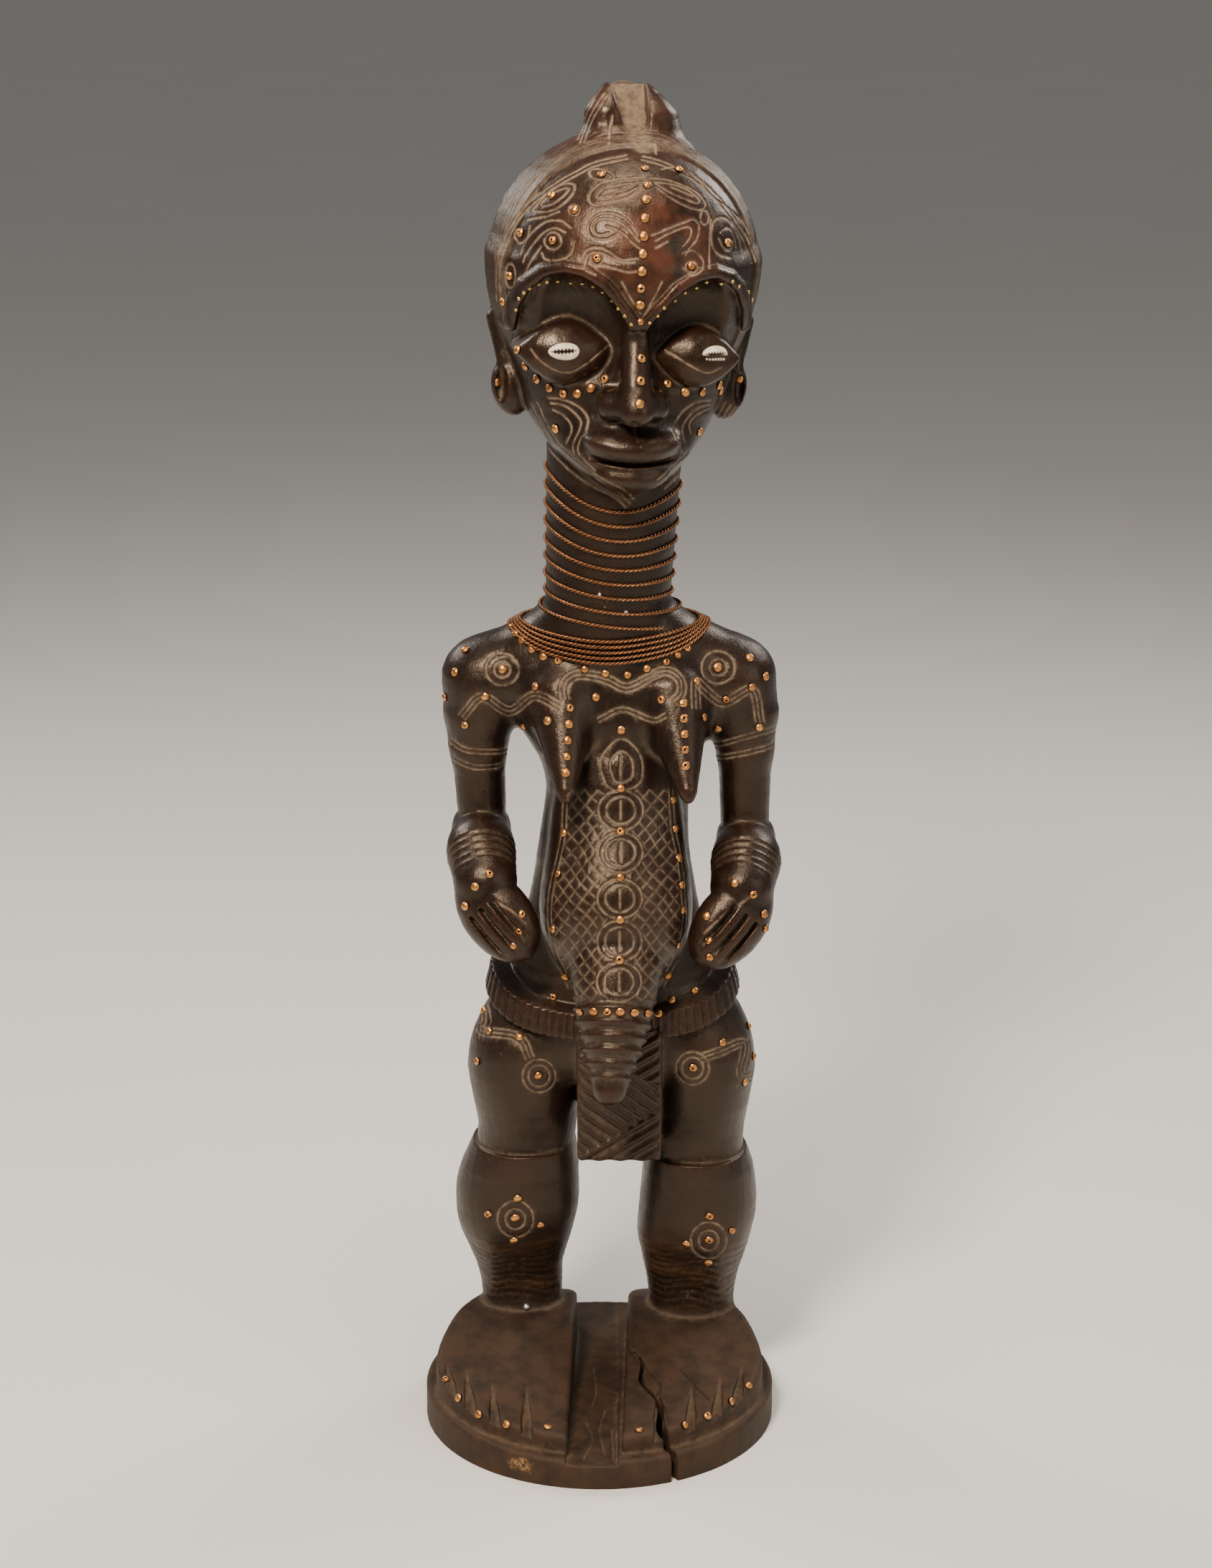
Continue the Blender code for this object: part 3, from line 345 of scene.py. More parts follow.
def breast(p, side):
    top = (-17.0, -8.0, 374.0) if side < 0 else (35.0, -8.0, 374.0)
    tip = (-15.5, -39.0, 338.0) if side < 0 else (41.5, -39.0, 338.0)
    nipple = (tip[0] + 0.5 * side, tip[1] - 2.5, tip[2] - 3.5)
    return join(cone(p, top, tip, 18.5, 5.0), ellipsoid(p, nipple, (2.4, 2.4, 2.4)), 2.5)


# Arms and hands, in carving units

UPPER_ARM = {-1: ((-34, 12, 388, 20.5), (-54.5, 13, 379, 20), (-57.5, 13, 362, 16.5),
                  (-58.5, 13.5, 346, 13.2), (-57, 14, 312, 12)),
             1: ((46, 12, 388, 20.5), (64, 13, 379, 20), (69, 13, 362, 16.5), (70.5, 13.5, 345, 13.2),
                 (70.8, 14, 306, 12))}
FOREARM = {-1: ((-57.5, 17, 302, 14.8), (-57, -4, 298, 15.4), (-54.5, -19, 287, 15.6)),
           1: ((71.6, 17, 297, 14.8), (71, -4, 293, 15.6), (68.5, -19, 284, 15.6))}
ELBOW_TOP = {-1: 317.5, 1: 311.5}
HAND = {-1: (-48.5, -27.0, 272.0), 1: (63.0, -27.0, 268.5)}


def arm(p, side):
    upper = limb(p, UPPER_ARM[side], 6.0)
    fore = limb(p, FOREARM[side], 6.0)
    fore = meet(fore, p[2] - ELBOW_TOP[side], 2.0)
    wrist = FOREARM[side][1]
    way = axes_along(Vector(FOREARM[side][2][:3]) - Vector(wrist[:3]), (0, 0, 1))
    along = (way @ (p - column(wrist[:3])))[2]
    bands = np.where((along > 0.0) & (along < 16.0), np.cos(along * (2 * math.pi / 4.0)), 0.0)
    return join(upper, fore - 0.35 * bands, 1.2)


def hand(p, side):
    """A mitten hand that lies on the flank, with three cuts between its four fingers."""
    fingers = (-0.62 * side, -0.30, -0.72)
    face = (0.35 * side, -1.0, 0.15)
    axes = axes_along(fingers, face)
    shape = ellipsoid(p, HAND[side], (17.5, 12.0, 26.0), axes)
    across, out, along = axes @ (p - column(HAND[side]))
    for place in (-6.5, 0.5, 7.5):
        groove = np.maximum(np.abs(across - place) - 1.1, np.abs(along - 7.0) - 14.0)
        shape = cut(shape, np.maximum(groove, 8.0 - out - np.abs(across) * 0.2), 1.2)
    return shape


# Apron, in carving units

APRON_LEFT = -11.0
APRON_RIGHT = 30.5
APRON_BOTTOM = 144.5


def apron(p):
    x, y, z = p
    middle = (APRON_LEFT + APRON_RIGHT) / 2
    half_width = (APRON_RIGHT - APRON_LEFT) / 2
    front = -25.5 - 0.05 * (z - APRON_BOTTOM)
    rising = (z - APRON_BOTTOM) * 0.84 - (x - APRON_LEFT) * 0.54
    falling = (z - APRON_BOTTOM) * 0.80 + (x - APRON_LEFT) * 0.60
    lower_zone = rising < 1.5
    upper_zone = z - APRON_BOTTOM > 41.0 + 0.35 * (APRON_RIGHT - x)
    hatch = np.where(lower_zone | upper_zone, rising, falling)
    grooves = 0.9 * np.cos(hatch * (2 * math.pi / 5.6))
    slab = meet(np.abs(x - middle) - half_width, APRON_BOTTOM - z, 3.0)
    slab = meet(slab, z - 214.0, 3.0)
    slab = meet(slab, front - y - grooves * smoothstep(0.0, 3.0, half_width - np.abs(x - middle)), 2.0)
    return meet(slab, y - 4.0, 2.0)


# Head, in its own frame: carving units, x across the face, -y out of the face, heights from its middle

HEAD = (11.3, 8.0, 579.0)
HEAD_AXES = turned(7.3, 2.0)
FACE = ((-103.5, 0, -33, 4, 13, 14), (-98, 0, -29, 11, 19, 22), (-91, 0, -23, 20.5, 27, 28),
        (-85, 0, -16, 31, 34.5, 34), (-77, 0, -10, 38.5, 40, 40), (-68, 0, -4, 44, 45.5, 46),
        (-53, 0, 0, 49.5, 50, 52), (-37, 0, 2, 54.5, 53, 57), (-19, 0, 1, 58.5, 56, 60),
        (4, 0, 0, 60.5, 60, 61))


def skull(q):
    cranium = ellipsoid(q, (0.0, 1.0, 1.0), (61.3, 62.0, 58.0))
    nape = ellipsoid(q, (0.0, 18.0, -30.0), (46.0, 40.0, 42.0))
    lower = loft(q, FACE, 2.1, 6.0)
    return join(join(cranium, nape, 12.0), lower, 8.0)


def hairline(q):
    """Above zero on the coiffure, below it on the face: an upright plane across the temples."""
    return q[1] + 28.5 - 0.08 * np.maximum(q[2], 0.0)


BROW = {-1: ((-2, -21.5), (-8, -13.5), (-16, -3.5), (-25, 2), (-34, 3.3), (-43, 0.3), (-50, -6.5),
             (-54, -16.5), (-55, -27)),
        1: ((3, -21.5), (9, -13.5), (17, -4.5), (26, 1), (35, 2.3), (43, -0.7), (49, -6.5),
            (53, -15.5), (54.5, -25))}
BROW_HALF_WIDTH = 3.4
BROW_RISE = 3.0
SOCKET_TOP = 2.8
EYE = {-1: (-31.0, -36.0, 22.0, 15.5), 1: (29.5, -37.5, 18.8, 14.2)}


def brow_height(q, side):
    return curve(side * q[0], [(side * place, height) for place, height in BROW[side]])


def brow_ridge(q, side, ground):
    """A rounded rope that stands on the edge of the forehead, over a ground that is the bare skull."""
    across = np.full(q.shape[1], 1e3, dtype=np.float32)
    for one, two in zip(BROW[side], BROW[side][1:]):
        way = column((two[0] - one[0], two[1] - one[1]))
        gap = q[0::2] - column(one)
        t = np.clip((gap * way).sum(axis=0) / float((way * way).sum()), 0.0, 1.0)
        across = np.minimum(across, length(gap - way * t))
    swell = np.sqrt(np.clip(1.0 - (across / BROW_HALF_WIDTH) ** 2, 0.0, None))
    return np.where(q[1] < 0.0, ground - BROW_RISE * swell, ground)


def socket(q, side):
    """The hollow between the brow ridge and the cheek."""
    centre_x, centre_z, _, _ = EYE[side]
    below = q[2] - brow_height(q, side) + SOCKET_TOP
    hollow = ellipsoid(q, (centre_x, -54.0, centre_z + 8.0), (27.0, 15.5, 29.0))
    return meet(meet(hollow, below, 1.6), 3.0 - side * q[0], 3.0)


def eye(q, side):
    """A bulging closed almond, with the slanting lid lines that meet at its corners."""
    centre_x, centre_z, half_length, half_height = EYE[side]
    across = q[0] - centre_x
    reach = np.clip(np.abs(across) / (half_length + 1.5), 0.0, 1.0)
    lid = half_height * (1.0 - reach ** 1.7)
    ball = ellipsoid(q, (centre_x, -31.0, centre_z), (26.0, 22.0, 18.5))
    almond = (np.abs(q[2] - centre_z) - lid) * 0.75
    return meet(ball, almond, 2.0)


def nose(q):
    bridge = cone(q, (0.0, -48.0, -21.0), (-0.5, -60.0, -53.0), 5.0, 8.0)
    tip = ellipsoid(q, (-0.5, -63.5, -59.0), (8.5, 9.0, 8.0))
    shape = join(bridge, tip, 5.0)
    for side in (-1, 1):
        wing = ellipsoid(q, (10.0 * side - 0.5, -54.0, -58.0), (7.0, 8.5, 7.5))
        shape = join(shape, wing, 5.0)
    return meet(shape, -67.0 - q[2], 3.0)


MOUTH_BEND = 0.0065


def mouth(q):
    """The pushed-out mouth with full lips, whose line dips in the middle."""
    muzzle = ellipsoid(q, (0.0, -34.0, -79.0), (28.0, 28.0, 20.0))
    bend = MOUTH_BEND * q[0] * q[0]
    lift = q - bend * column((0.0, 0.0, 1.0))
    upper = ellipsoid(lift, (0.0, -51.0, -77.5), (22.5, 14.0, 8.5))
    lower = ellipsoid(lift, (0.0, -49.0, -91.0), (18.0, 12.5, 8.0))
    shape = join(join(muzzle, upper, 2.0), lower, 2.0)
    line = np.maximum(np.abs(lift[2] + 84.5) - 0.9, np.abs(q[0]) - 21.5)
    return cut(shape, np.maximum(line, q[1] + 52.0), 1.4)


def ear(q, side):
    """A slanting strip over a round lobe."""
    strip = cone(q, (58.5 * side, 2.0, -27.0), (54.0 * side, -3.0, -46.0), 4.4, 4.0)
    lobe_axes = axes_along((-0.22 * side, 0, -1), (0, -1, 0))
    lobe = ellipsoid(q, (51.0 * side, -2.0, -59.0), (9.0, 9.0, 14.0), lobe_axes)
    back = ellipsoid(q, (46.0 * side, 8.0, -56.0), (9.0, 12.0, 14.0))
    hollow = ellipsoid(q, (56.0 * side, -9.0, -57.0), (2.6, 5.0, 8.0))
    return join(join(strip, cut(lobe, hollow, 1.5), 2.0), back, 4.0)


def topknot(q):
    """The cleft crest on top of the head, its left lobe steeper than its right one."""
    left = limb(q, ((-9.0, 3.0, 52.0, 14.5), (-9.0, 4.0, 66.0, 9.8), (-7.0, 7.0, 73.5, 7.4)), 5.0)
    right = limb(q, ((13.0, 3.0, 50.0, 16.0), (10.5, 5.0, 62.0, 13.0), (7.0, 9.0, 71.5, 9.2)), 5.0)
    back = limb(q, ((2.0, 16.0, 52.0, 22.0), (0.5, 21.0, 64.0, 13.0), (0.0, 22.0, 70.5, 9.6)), 6.0)
    shape = join(join(left, right, 4.0), back, 7.0)
    rise = np.clip(q[2] - 46.0, 0.0, None)
    across = np.abs(q[0] - 5.5 + 0.16 * rise)
    channel = np.maximum(across - 3.0 - 0.15 * rise, q[1] + 9.0 - 0.62 * rise)
    return cut(shape, np.maximum(channel, 45.0 - q[2]), 1.5)


def head(p):
    q = HEAD_AXES @ (p - column(HEAD))
    shape = skull(q)
    hair = hairline(q)
    shape = shape - 1.3 * smoothstep(-0.6, 1.4, hair) * smoothstep(-48.0, -30.0, q[2])
    ground = shape
    for side in (-1, 1):
        shape = np.minimum(shape, brow_ridge(q, side, ground))
    for side in (-1, 1):
        shape = cut(shape, socket(q, side), 2.0)
    for side in (-1, 1):
        shape = join(shape, eye(q, side), 1.5)
        shape = join(shape, ear(q, side), 2.5)
    shape = join(shape, mouth(q), 6.0)
    shape = join(shape, nose(q), 4.0)
    return join(shape, topknot(q), 5.0)


NECK_TOP = (7.6, 8.0, 500.0)
NECK_FOOT = (3.6, 8.0, 404.0)
NECK_TOP_RADIUS = 32.3
NECK_FOOT_RADIUS = 29.3


def neck(p):
    return cone(p, NECK_FOOT, NECK_TOP, NECK_FOOT_RADIUS, NECK_TOP_RADIUS)


def chest_and_waist(p):
    return loft(p, TRUNK, 2.1, 5.0)


def hips(p):
    return loft(p, PELVIS, 2.1, 6.0)


# The forms in the order in which they are joined: lowest and highest place, fillet, form, and its side
FORMS = (
    (212.0, 430.0, 1.0, chest_and_waist), (168.0, 242.0, 2.0, hips), (158.0, 225.0, 8.0, seat),
    (20.0, 226.0, 5.0, leg, -1), (325.0, 402.0, 6.0, breast, -1),
    (20.0, 226.0, 5.0, leg, 1), (325.0, 402.0, 6.0, breast, 1),
    (368.0, 540.0, 3.0, neck), (262.0, 418.0, 7.0, arm, -1), (262.0, 418.0, 7.0, arm, 1),
    (222.0, 372.0, 2.5, belly), (238.0, 302.0, 1.5, hand, -1), (238.0, 302.0, 1.5, hand, 1),
    (195.0, 245.0, 0.8, belt), (138.0, 220.0, 0.8, apron), (180.0, 278.0, 3.0, navel),
    (462.0, 668.0, 3.0, head), (8.0, 62.0, 2.0, foot, -1), (8.0, 62.0, 2.0, foot, 1),
)
FORM_REACH = 14.0


def body(p):
    """The figure above its base, in carving units. Forms far above or below all the points are left out."""
    low = p[2].min() - FORM_REACH
    high = p[2].max() + FORM_REACH
    shape = np.full(p.shape[1], 99.0, dtype=np.float32)
    for bottom, top, fillet, form, *side in FORMS:
        if bottom < high and top > low:
            shape = join(shape, form(p, *side), fillet)
    return shape


def figure_distance(p):
    """Distance in metres from each world point to the wood."""
    plinth = cut(base(p), foot_trench(p), 0.0015)
    wood = join(plinth, body(to_units(p)) * UNIT, 0.0012)
    return np.maximum(cut(wood, crack(p), 0.0008), -SAW_DEPTH - p[2])


# Meshing

def sampled(distance, low, high, step):
    """Distances on a grid, worked out coarsely, then twice as finely near the skin, and so once more."""
    cells = np.ceil((np.array(high) - np.array(low)) / (4 * step)).astype(int)
    grid = np.full(cells, 1.0, dtype=np.float32)
    for refine in (4, 2, 1):
        size = step * refine
        if refine < 4:
            grid = grid.repeat(2, 0).repeat(2, 1).repeat(2, 2)
        first = [low[i] + size / 2 for i in range(3)]
        slab = max(1, int(0.012 / size))
        for k in range(0, grid.shape[2], slab):
            part = grid[:, :, k:k + slab]
            near = np.nonzero(np.abs(part) < 2 * size * 1.3) if refine < 4 else np.nonzero(part == 1.0)
            if len(near[0]):
                counts = (near[0], near[1], near[2] + k)
                spots = np.stack([start + count * size for start, count in zip(first, counts)])
                part[near] = distance(spots.astype(np.float32))
    return grid, np.array(low) + step / 2


def wood_surface(voxel, bottom, top):
    """Points and quads of the wood between two heights."""
    reach = BASE_RADIUS + 6 * voxel
    low = (-reach, -reach, bottom)
    high = (reach, reach, top)
    values, origin = sampled(figure_distance, low, high, voxel)
    grid = openvdb.FloatGrid()
    grid.copyFromArray(values)
    points, quads = grid.convertToQuads(isovalue=0.0)
    return points.astype(np.float64) * voxel + origin, quads.astype(np.int64)


def point_normals(points, faces):
    a = points[faces[:, 2]] - points[faces[:, 0]]
    b = points[faces[:, -1]] - points[faces[:, 1]]
    across = np.cross(a, b)
    spread = np.repeat(across, faces.shape[1], axis=0)
    summed = np.stack([np.bincount(faces.ravel(), spread[:, i], len(points)) for i in range(3)], 1)
    return summed / np.maximum(np.linalg.norm(summed, axis=1, keepdims=True), 1e-12)


def mesh_of(name, points, faces):
    mesh = bpy.data.meshes.new(name)
    sides = faces.shape[1]
    mesh.vertices.add(len(points))
    mesh.vertices.foreach_set("co", points.astype(np.float32).ravel())
    mesh.loops.add(faces.size)
    mesh.loops.foreach_set("vertex_index", faces.astype(np.int32).ravel())
    mesh.polygons.add(len(faces))
    mesh.polygons.foreach_set("loop_start", np.arange(0, faces.size, sides, dtype=np.int32))
    mesh.update(calc_edges=True)
    mesh.validate()
    return mesh


# The camera, as it stood for the photograph, in metres and in pixels of the photograph's frame
FRAME_WIDTH = 1688
FRAME_HEIGHT = 2184
FOCAL_PIXELS = 4576.0
SENSOR_HEIGHT = 36.0
CAMERA_PLACE = np.array((0.0033, -1.516, 0.773))
CAMERA_TILT = math.radians(16.3)
LOOK = np.array((0.0, math.cos(CAMERA_TILT), -math.sin(CAMERA_TILT)))
RIGHT = np.array((1.0, 0.0, 0.0))
DOWN = np.array((0.0, -math.sin(CAMERA_TILT), -math.cos(CAMERA_TILT)))


def sight(u, v):
    """The way from the camera through a pixel of the photograph's frame."""
    way = LOOK + RIGHT * (u - FRAME_WIDTH / 2) / FOCAL_PIXELS + DOWN * (v - FRAME_HEIGHT / 2) / FOCAL_PIXELS
    return Vector(way).normalized()


SEEN_FACING = -0.17
STEEPEST_FACING = -0.1


class Chart:
    """Where points of the wood appear in the photograph, and how far a pixel's step is on the wood."""

    def __init__(self, points, normals):
        gap = points - CAMERA_PLACE
        depth = gap @ LOOK
        ray = gap / depth[:, None]
        self.u = FRAME_WIDTH / 2 + FOCAL_PIXELS * (ray @ RIGHT)
        self.v = FRAME_HEIGHT / 2 + FOCAL_PIXELS * (ray @ DOWN)
        facing = (ray * normals).sum(axis=1)
        self.seen = facing < SEEN_FACING
        facing = np.minimum(facing, STEEPEST_FACING)
        steps = []
        for way in (RIGHT, DOWN):
            shift = way - ray * ((normals @ way) / facing)[:, None]
            steps.append(shift * (depth / FOCAL_PIXELS)[:, None])
        self.uu = (steps[0] ** 2).sum(axis=1)
        self.uv = (steps[0] * steps[1]).sum(axis=1)
        self.vv = (steps[1] ** 2).sum(axis=1)

    def squared(self, spots, du, dv):
        return self.uu[spots] * du * du + 2 * self.uv[spots] * du * dv + self.vv[spots] * dv * dv

    def from_line(self, allowed, line):
        """The allowed points near a line of pixels, and their distance from it in metres."""
        low = line.min(axis=0) - LINE_REACH_PIXELS
        high = line.max(axis=0) + LINE_REACH_PIXELS
        inside = (self.u[allowed] > low[0]) & (self.u[allowed] < high[0])
        inside &= (self.v[allowed] > low[1]) & (self.v[allowed] < high[1])
        spots = allowed[inside]
        least = np.full(len(spots), 1.0)
        for start, end in zip(line, line[1:]):
            du = self.u[spots] - start[0]
            dv = self.v[spots] - start[1]
            way_u, way_v = end - start
            whole = self.squared(spots, way_u, way_v)
            along = self.uu[spots] * du * way_u + self.uv[spots] * (du * way_v + dv * way_u)
            along += self.vv[spots] * dv * way_v
            t = np.clip(along / whole, 0.0, 1.0)
            least = np.minimum(least, self.squared(spots, du - t * way_u, dv - t * way_v))
        return spots, np.sqrt(least)

    def from_grating(self, spots, slope, pitch):
        """Distance in metres from the nearest of a set of parallel lines, a pitch of pixels apart."""
        across_u, across_v = math.cos(slope), math.sin(slope)
        u, v = self.u[spots], self.v[spots]
        sway = 2.2 * np.sin(v / 31.0) + 1.6 * np.sin(u / 13.0 + v / 19.0)
        phase = (u * across_u + v * across_v + sway) / pitch
        pixels = np.abs(phase - np.round(phase)) * pitch
        whole = self.uu[spots] * self.vv[spots] - self.uv[spots] ** 2
        steep = (self.vv[spots] * across_u ** 2 - 2 * self.uv[spots] * across_u * across_v
                 + self.uu[spots] * across_v ** 2) / whole
        return pixels / np.sqrt(steep)


def smooth_line(pixels, turns=5):
    """A line of pixels as a smooth curve through the same pixels."""
    points = np.array(pixels, dtype=float)
    if len(points) < 3:
        return points
    closed = (points[0] == points[-1]).all()
    before = points[-2] if closed else 2 * points[0] - points[1]
    after = points[1] if closed else 2 * points[-1] - points[-2]
    padded = np.vstack([before, points, after])
    made = []
    for a, b, c, d in zip(padded, padded[1:], padded[2:], padded[3:]):
        for t in np.arange(turns) / turns:
            made.append(b + 0.5 * t * (c - a + t * (2 * a - 5 * b + 4 * c - d + t * (3 * (b - c) + d - a))))
    made.append(points[-1])
    return np.array(made)


def beside(line, offset):
    """The same line moved sideways by a number of pixels."""
    way = np.gradient(line, axis=0)
    way /= np.maximum(np.linalg.norm(way, axis=1, keepdims=True), 1e-6)
    return line + offset * np.stack([-way[:, 1], way[:, 0]], axis=1)


def oval(u, v, half_width, half_height, tilt=0.0):
    """A closed line of pixels round a middle."""
    turn = np.linspace(0.0, 2 * math.pi, 25)
    across, up = half_width * np.cos(turn), half_height * np.sin(turn)
    return np.stack([u + across * math.cos(tilt) - up * math.sin(tilt),
                     v + across * math.sin(tilt) + up * math.cos(tilt)], axis=1)


# Carved lines, in pixels of the photograph's frame, grouped by how many are cut side by side
LINE_REACH_PIXELS = 9
GROOVE_HALF_WIDTH = 0.00048
GROOVE_DEPTH = 0.00045
SINGLE = (0.0,)
DOUBLE = (-3.0, 3.0)
TRIPLE = (-6.0, 0.0, 6.0)
RIM = (-2.0, 3.5)
JAW = (-8.0, 0.0, 8.0)
HEAD_LINES = (
    (RIM, (
        ((873, 219), (828, 229), (804, 241), (778, 255), (751, 273), (731, 292), (713, 316), (700, 343),
         (694, 370), (693, 396), (694, 420)),
        ((895, 219), (922, 226), (951, 238), (977, 253), (1001, 276), (1021, 302), (1039, 332),
         (1051, 364)))),
    (SINGLE, (
        ((895, 246), (863, 249), (834, 257), (820, 273), (828, 285), (851, 281), (875, 274), (889, 264)),
        ((895, 253), (866, 256), (842, 262), (832, 271), (838, 276), (857, 273), (875, 267), (891, 258)),
        ((842, 268), (863, 262), (886, 255)),
        ((888, 326), (872, 305), (851, 296), (831, 299), (819, 314), (823, 329), (842, 333), (860, 326)),
        ((889, 335), (869, 313), (848, 304), (832, 307), (826, 319), (834, 327), (848, 324)),
        ((845, 314), (866, 323), (881, 338), (895, 349)),
        ((810, 364), (816, 349), (831, 344), (845, 348), (863, 360), (881, 360), (895, 358)),
        ((813, 373), (819, 355), (832, 351), (845, 355), (863, 364), (883, 365)),
        ((839, 368), (857, 374), (875, 379), (889, 377)),
        ((816, 376), (828, 382)),
        ((795, 317), (781, 307), (760, 308), (743, 320), (731, 335), (724, 352)),
        ((787, 323), (772, 317), (757, 323), (743, 338), (731, 355), (728, 364)),
        ((800, 335), (795, 352), (781, 361), (760, 361), (754, 352)),
        ((753, 343), (740, 361), (731, 379)),
        ((734, 305), (757, 301), (778, 294)),
        ((737, 314), (734, 329), (724, 338), (717, 329), (719, 319)),
        ((905, 247), (930, 250), (951, 257), (971, 267), (983, 282), (977, 291), (960, 288), (936, 276),
         (913, 260)),
        ((911, 253), (933, 255), (957, 263), (974, 276), (971, 282), (957, 277), (933, 267), (913, 255)),
        ((936, 260), (966, 272)),
        ((922, 235), (933, 232), (951, 233), (966, 241)),
        ((908, 327), (927, 319), (951, 310), (966, 305), (974, 314), (971, 332), (960, 346), (955, 355)),
        ((913, 335), (933, 324), (954, 316), (963, 319), (960, 332), (951, 343)),
        ((913, 345), (930, 336)),
        ((951, 352), (966, 349), (979, 361), (977, 376), (963, 383), (952, 373)),
        ((991, 326), (995, 308), (1007, 302), (1021, 311), (1030, 332), (1035, 355)),
        ((991, 326), (993, 343), (1004, 355), (1018, 358)),
        ((1004, 323), (1013, 316), (1021, 323), (1026, 343)),
        ((1002, 332), (1007, 343), (1015, 348), (1021, 343), (1020, 335), (1011, 333)),
        ((977, 253), (992, 273), (1018, 291), (1036, 311), (1051, 341)),
        ((991, 305), (989, 335), (988, 373)),
        ((866, 393), (881, 420), (892, 437)),
        ((922, 393), (910, 417), (898, 437)),
        ((807, 200), (816, 170), (831, 144), (842, 129)),
        ((813, 197), (822, 170), (837, 147), (845, 134)),
        ((804, 194), (812, 165), (825, 138)),
        ((848, 200), (849, 179), (853, 160)),
        ((914, 214), (912, 199)),
        ((800, 258), (787, 255), (766, 264), (749, 282), (741, 292), (757, 294), (778, 288), (795, 273),
         (800, 258)),
        ((791, 261), (772, 267), (754, 282), (757, 286), (772, 282), (787, 270), (791, 261)))),
)
FACE_LINES = (
    (SINGLE, (
        ((762, 555), (778, 556), (795, 561), (810, 570), (819, 583), (816, 598), (807, 612), (804, 627),
         (810, 639), (828, 656)),
        ((766, 562), (784, 565), (798, 574), (809, 587), (804, 603), (797, 618), (798, 633)),
        ((769, 571), (784, 579), (794, 590), (795, 601), (787, 618)),
        ((991, 559), (969, 562), (951, 574), (941, 589), (939, 601), (947, 618), (951, 633)),
        ((989, 565), (971, 571), (957, 584), (951, 598), (955, 615)),
        ((988, 572), (971, 579), (961, 590), (963, 603)))),
    (JAW, (
        ((740, 565), (763, 612), (793, 645), (828, 671), (863, 689), (878, 702)),
        ((1018, 565), (1001, 595), (980, 621), (951, 650), (922, 675)))),
)
EYE_LINES = (
    (SINGLE, (
        ((847, 481), (838, 489), (815, 508), (793, 519), (773, 516), (752, 503), (739, 486)),
        ((926, 487), (938, 494), (962, 510), (985, 520), (1005, 513)))),
)
CHEST_LINES = (
    (TRIPLE, (
        ((643, 999), (671, 971), (709, 991), (743, 969), (779, 983)),
        ((970, 986), (970, 949), (981, 959), (1008, 979), (1048, 961), (1059, 1006)),
        ((786, 973), (786, 953), (799, 941), (819, 940), (845, 946), (872, 958), (899, 946), (918, 936),
         (935, 936), (948, 949), (948, 966), (938, 976)))),
    (DOUBLE, (
        ((834, 1003), (867, 988), (908, 1003), (927, 996)),)),
    (SINGLE, (
        ((865, 1029), (837, 1056), (844, 1092), (864, 1102), (892, 1089), (892, 1052), (865, 1029)),
        ((865, 1046), (850, 1061), (854, 1084), (864, 1090), (880, 1082), (880, 1059), (865, 1046)),
        ((864, 1052), (864, 1089)))),
)
ARMS_LINES = (
    (DOUBLE, (
        ((625, 1032), (653, 1046), (709, 1047)),
        ((628, 1057), (660, 1069), (700, 1067)),
        ((995, 1039), (1031, 1029), (1079, 1017)),
        ((998, 1056), (1038, 1049), (1079, 1039)))),
)
BELLY_LINES = (
    (DOUBLE, (
        ((786, 1120), (784, 1160), (776, 1200), (766, 1243), (764, 1286), (772, 1326), (789, 1365),
         (806, 1399)),
        ((935, 1100), (938, 1153), (947, 1196), (953, 1249), (955, 1286), (945, 1326), (927, 1365),
         (912, 1395)))),
)
HANDS_LINES = (
    (SINGLE, (
        ((685, 1253), (709, 1266), (733, 1286)),
        ((1044, 1251), (1011, 1272), (981, 1299)))),
)
HIPS_LINES = (
    (TRIPLE, (
        ((666, 1447), (672, 1404), (677, 1422), (669, 1435), (721, 1444), (738, 1474)),
        ((1049, 1499), (1033, 1496), (1039, 1453), (1003, 1465), (977, 1474)))),
)

# Broader shapes as (half width and rise in metres, line), below zero where they are hollowed out
BROADER_LINES = (
    (0.0016, -0.0010, ((884, 592), (886, 603), (888, 614))),
    (0.0006, -0.0007, ((827, 1906), (830, 1936), (824, 1959))),
    (0.0006, -0.0007, ((817, 1982), (825, 2005), (812, 2032))),
    (0.0006, -0.0007, ((842, 1966), (835, 1992), (842, 2025))),
    (0.0006, -0.0007, ((852, 1992), (854, 2032))),
)
CRACKS = (
    ((873, 1876), (892, 1897), (908, 1914), (919, 1929), (916, 1945), (924, 1962), (931, 1980)),
    ((946, 1905), (958, 1918), (970, 1932), (986, 1947)),
    ((823, 1881), (829, 1881), (835, 1880)),
    ((838, 812), (842, 845)),
)
CRACK_HALF_WIDTH = 0.00042
CRACK_DEPTH = 0.0011
CHIPS = ((718, 2038, 11, 6), (731, 2044, 9, 5), (728, 2034, 5, 4))

